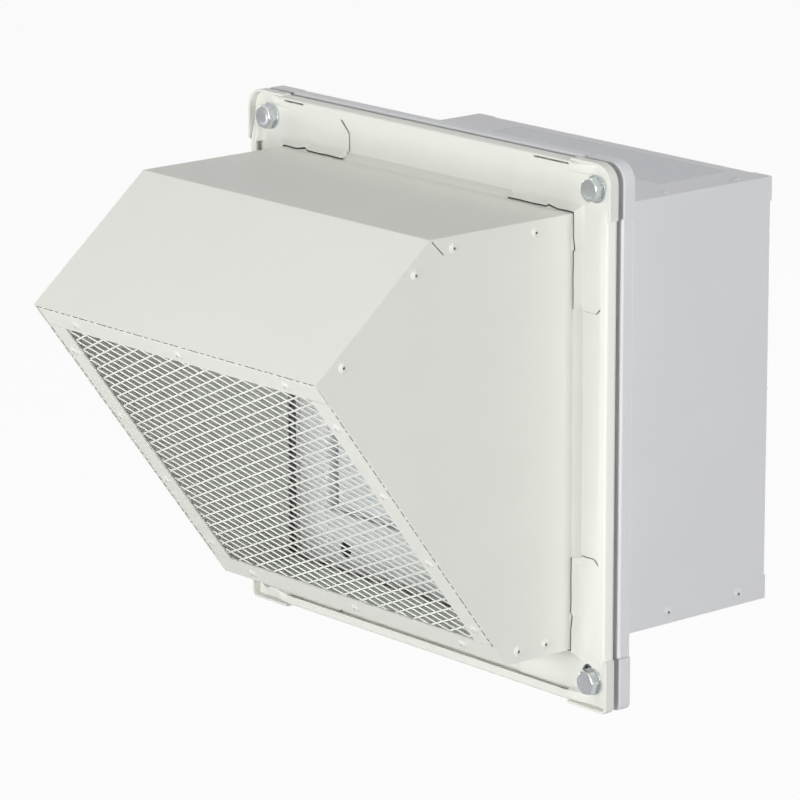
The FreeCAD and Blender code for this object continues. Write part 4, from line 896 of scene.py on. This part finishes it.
class WALLFAN_OT_coat_sheet(bpy.types.Operator):
    """Coat the hood, casing, damper and fan panel, round their cut edges, close their seams and paint shade lines in
    them
    """
    bl_idname = "wallfan.coat_sheet"
    bl_label = "Coat sheet metal"

    def execute(self, context):
        finish = coats()
        radius = context.scene.wall_fan.sheet.edge_round
        dress(HOOD_NODES, finish["hood"])
        dress(("hood_rivets", "mesh_rivets"), finish["hood"])
        dress(CASING_NODES, finish["casing"])
        dress(("casing_rivets", "damper_rivets"), finish["casing"])
        dress(DAMPER_SHEETS + FAN_SHEETS, finish["coil"])
        dress(DAMPER_BLADES, finish["blade"])
        soften(HOOD_NODES + CASING_NODES + DAMPER_SHEETS + DAMPER_BLADES, radius)
        # Dark strips that paint the shade in seams and along the arm tips.
        painted_shade = hardware()["painted_shade"]
        loose_edges(finish["hood"], painted_shade)
        arm_tip_shade_lines(painted_shade)
        hem_ends(finish["hood"])
        casing_laps(finish["casing"])
        return {"FINISHED"}


class WALLFAN_OT_expand_mesh(bpy.types.Operator):
    """Make the expanded-metal bird mesh with its strand ends, and paint the shade in the slits of its border"""
    bl_idname = "wallfan.expand_mesh"
    bl_label = "Expand bird mesh"

    def execute(self, context):
        finish = coats()["mesh"]
        expanded_mesh(finish)
        strand_ends(finish)
        border_shade_lines(hardware()["painted_shade"])
        return {"FINISHED"}


class WALLFAN_OT_fasten(bpy.types.Operator):
    """Finish bolts, washers, nuts, screws, gasket and rivets"""
    bl_idname = "wallfan.fasten"
    bl_label = "Finish fasteners"

    def execute(self, context):
        finish = hardware()
        threaded_bolts(finish["zinc"])
        rivet_pins(finish["wire"])
        dress(("flange_washers", "flange_nuts", "motor_screws", "guard_screws", "lid_screws", "damper_rods"),
              finish["zinc"])
        soften(("flange_washers", "flange_nuts"), radius=0.15 * MM)
        dress(("flange_gasket",), finish["rubber"])
        return {"FINISHED"}


class WALLFAN_OT_finish_fan(bpy.types.Operator):
    """Finish the impeller, motor and inlet guard"""
    bl_idname = "wallfan.finish_fan"
    bl_label = "Finish fan and motor"

    def execute(self, context):
        finish = hardware()
        dress(("impeller_hub", "impeller_blades", "rotor_shell", "motor_arms"), finish["black"])
        soften(("impeller_hub", "rotor_shell", "motor_arms"), radius=0.4 * MM)
        dress(("motor_shaft", "motor_bearings"), finish["steel"])
        dress(("stator_base",), finish["cast"])
        soften(("stator_base",), radius=0.6 * MM)
        dress(("stator_core",), finish["core"])
        dress(("stator_windings",), finish["copper"])
        wire_guard(finish["black"])
        dress(("guard_clips",), finish["nylon"])
        soften(("guard_clips",), radius=0.4 * MM)
        return {"FINISHED"}


class WALLFAN_OT_finish_wiring(bpy.types.Operator):
    """Finish the terminal box, its gland and the motor lead"""
    bl_idname = "wallfan.finish_wiring"
    bl_label = "Finish wiring"

    def execute(self, context):
        finish = hardware()
        dress(("terminal_box", "terminal_box_lid", "cable_gland"), finish["plastic"])
        soften(("terminal_box", "terminal_box_lid", "cable_gland"), radius=0.5 * MM)
        dress(("motor_lead",), finish["sheath"])
        return {"FINISHED"}


class WALLFAN_OT_stick(bpy.types.Operator):
    """Put a blank sticker on the casing"""
    bl_idname = "wallfan.stick"
    bl_label = "Blank sticker"

    def execute(self, context):
        blank_sticker()
        return {"FINISHED"}


def area_light(name, level, place, width):
    """A square soft light that faces the origin and gives a facing surface there the given level."""
    light = bpy.data.lights.new(name, "AREA")
    light.shape = "SQUARE"
    light.size = width
    light.energy = level * math.pi ** 2 * place.length_squared
    lamp = bpy.data.objects.new(name, light)
    lamp.location = place
    lamp.rotation_euler = place.to_track_quat("Z", "Y").to_euler()
    bpy.context.scene.collection.objects.link(lamp)


def seen_white(tree, straight, gloss):
    """How white the camera and glass see a surround, and how white gloss sees it; 0 for light on the object."""
    path = add(tree, "LightPath")
    clear = add(tree, "Math", {"operation": "MAXIMUM"},
                links={0: path.outputs["Is Camera Ray"], 1: path.outputs["Is Transmission Ray"]})
    direct = add(tree, "Math", {"operation": "MULTIPLY"}, {1: straight}, {0: clear.outputs["Value"]})
    mirror = add(tree, "Math", {"operation": "MULTIPLY"}, {1: gloss}, {0: path.outputs["Is Glossy Ray"]})
    return add(tree, "Math", {"operation": "MAXIMUM"},
               links={0: direct.outputs["Value"], 1: mirror.outputs["Value"]}).outputs["Value"]


class WALLFAN_OT_set_stage(bpy.types.Operator):
    """Set the floor, the lights, the white surround and the camera"""
    bl_idname = "wallfan.set_stage"
    bl_label = "Set stage"

    def execute(self, context):
        size = context.scene.wall_fan.studio
        scene = context.scene
        scene.view_settings.view_transform = "Standard"
        self.set_floor(size)
        self.set_world(size, scene)
        for name, (place, width) in SOFTBOXES.items():
            area_light(name + " softbox", getattr(size, name), Vector(place), width)
        self.set_camera(size, scene)
        return {"FINISHED"}

    def set_floor(self, size):
        material = bpy.data.materials.new("Matt white studio floor")
        material.use_nodes = True
        tree = material.node_tree
        tree.nodes.clear()
        matt = add(tree, "BsdfDiffuse", values={"Color": (*size.floor_colour, 1)})
        white = add(tree, "Emission", values={"Color": (1, 1, 1, 1), "Strength": 1})
        share = seen_white(tree, straight=0.95, gloss=0.35)
        mixed = add(tree, "MixShader", links={0: share, 1: matt.outputs["BSDF"], 2: white.outputs["Emission"]})
        add(tree, "OutputMaterial", links={"Surface": mixed.outputs["Shader"]})
        mesh = bpy.data.meshes.new("studio_floor")
        reach = 8.0
        level = -size.floor_drop
        mesh.from_pydata([(-reach, -reach, level), (reach, -reach, level), (reach, reach, level),
                          (-reach, reach, level)], [], [(0, 1, 2, 3)])
        mesh.materials.append(material)
        floor = bpy.data.objects.new("studio_floor", mesh)
        bpy.context.scene.collection.objects.link(floor)

    def set_world(self, size, scene):
        world = bpy.data.worlds.new("white surround")
        scene.world = world
        world.use_nodes = True
        tree = world.node_tree
        tree.nodes.clear()
        even = add(tree, "Background", values={"Color": (1, 1, 1, 1), "Strength": size.ambient})
        white = add(tree, "Background", values={"Color": (1, 1, 1, 1), "Strength": 1})
        share = seen_white(tree, straight=1, gloss=1)
        mixed = add(tree, "MixShader", links={0: share, 1: even.outputs["Background"],
                                              2: white.outputs["Background"]})
        add(tree, "OutputWorld", links={"Surface": mixed.outputs["Shader"]})

    def set_camera(self, size, scene):
        back = Vector((math.sin(size.azimuth) * math.cos(size.elevation),
                       -math.cos(size.azimuth) * math.cos(size.elevation), math.sin(size.elevation)))
        level = Vector((math.cos(size.azimuth), math.sin(size.azimuth), 0))
        rise = back.cross(level)
        right = level * math.cos(size.roll) + rise * math.sin(size.roll)
        up = rise * math.cos(size.roll) - level * math.sin(size.roll)
        place = back * size.distance - right * size.shift_right - up * size.shift_up - Y_AXIS * size.joint_plane
        lens = bpy.data.cameras.new("photograph camera")
        lens.sensor_width = 36
        lens.lens = size.lens
        lens.clip_end = 100
        camera = bpy.data.objects.new("photograph camera", lens)
        turn = Matrix((right, up, back)).transposed()
        camera.matrix_world = Matrix.Translation(place) @ turn.to_4x4()
        scene.collection.objects.link(camera)
        scene.camera = camera


class WALLFAN_PT_panel(bpy.types.Panel):
    """Lists the steps that dress the fan"""
    bl_label = "Wall fan"
    bl_idname = "WALLFAN_PT_panel"
    bl_space_type = "VIEW_3D"
    bl_region_type = "UI"
    bl_category = "Wall fan"

    def draw(self, context):
        for step in STEPS:
            self.layout.operator(step.bl_idname)


STEPS = (WALLFAN_OT_coat_sheet, WALLFAN_OT_expand_mesh, WALLFAN_OT_fasten, WALLFAN_OT_finish_fan,
         WALLFAN_OT_finish_wiring, WALLFAN_OT_stick, WALLFAN_OT_set_stage)
CLASSES = (SheetSettings, MeshSettings, FastenerSettings, GuardSettings, SeamSettings, StickerSettings,
           StudioSettings, WallFanSettings) + STEPS + (WALLFAN_PT_panel,)


def register():
    for item in CLASSES:
        bpy.utils.register_class(item)
    bpy.types.Scene.wall_fan = PointerProperty(type=WallFanSettings)


def unregister():
    del bpy.types.Scene.wall_fan
    for item in reversed(CLASSES):
        bpy.utils.unregister_class(item)


def main():
    register()
    for step in STEPS:
        group, name = step.bl_idname.split(".")
        getattr(getattr(bpy.ops, group), name)()


if __name__ == "__main__":
    main()
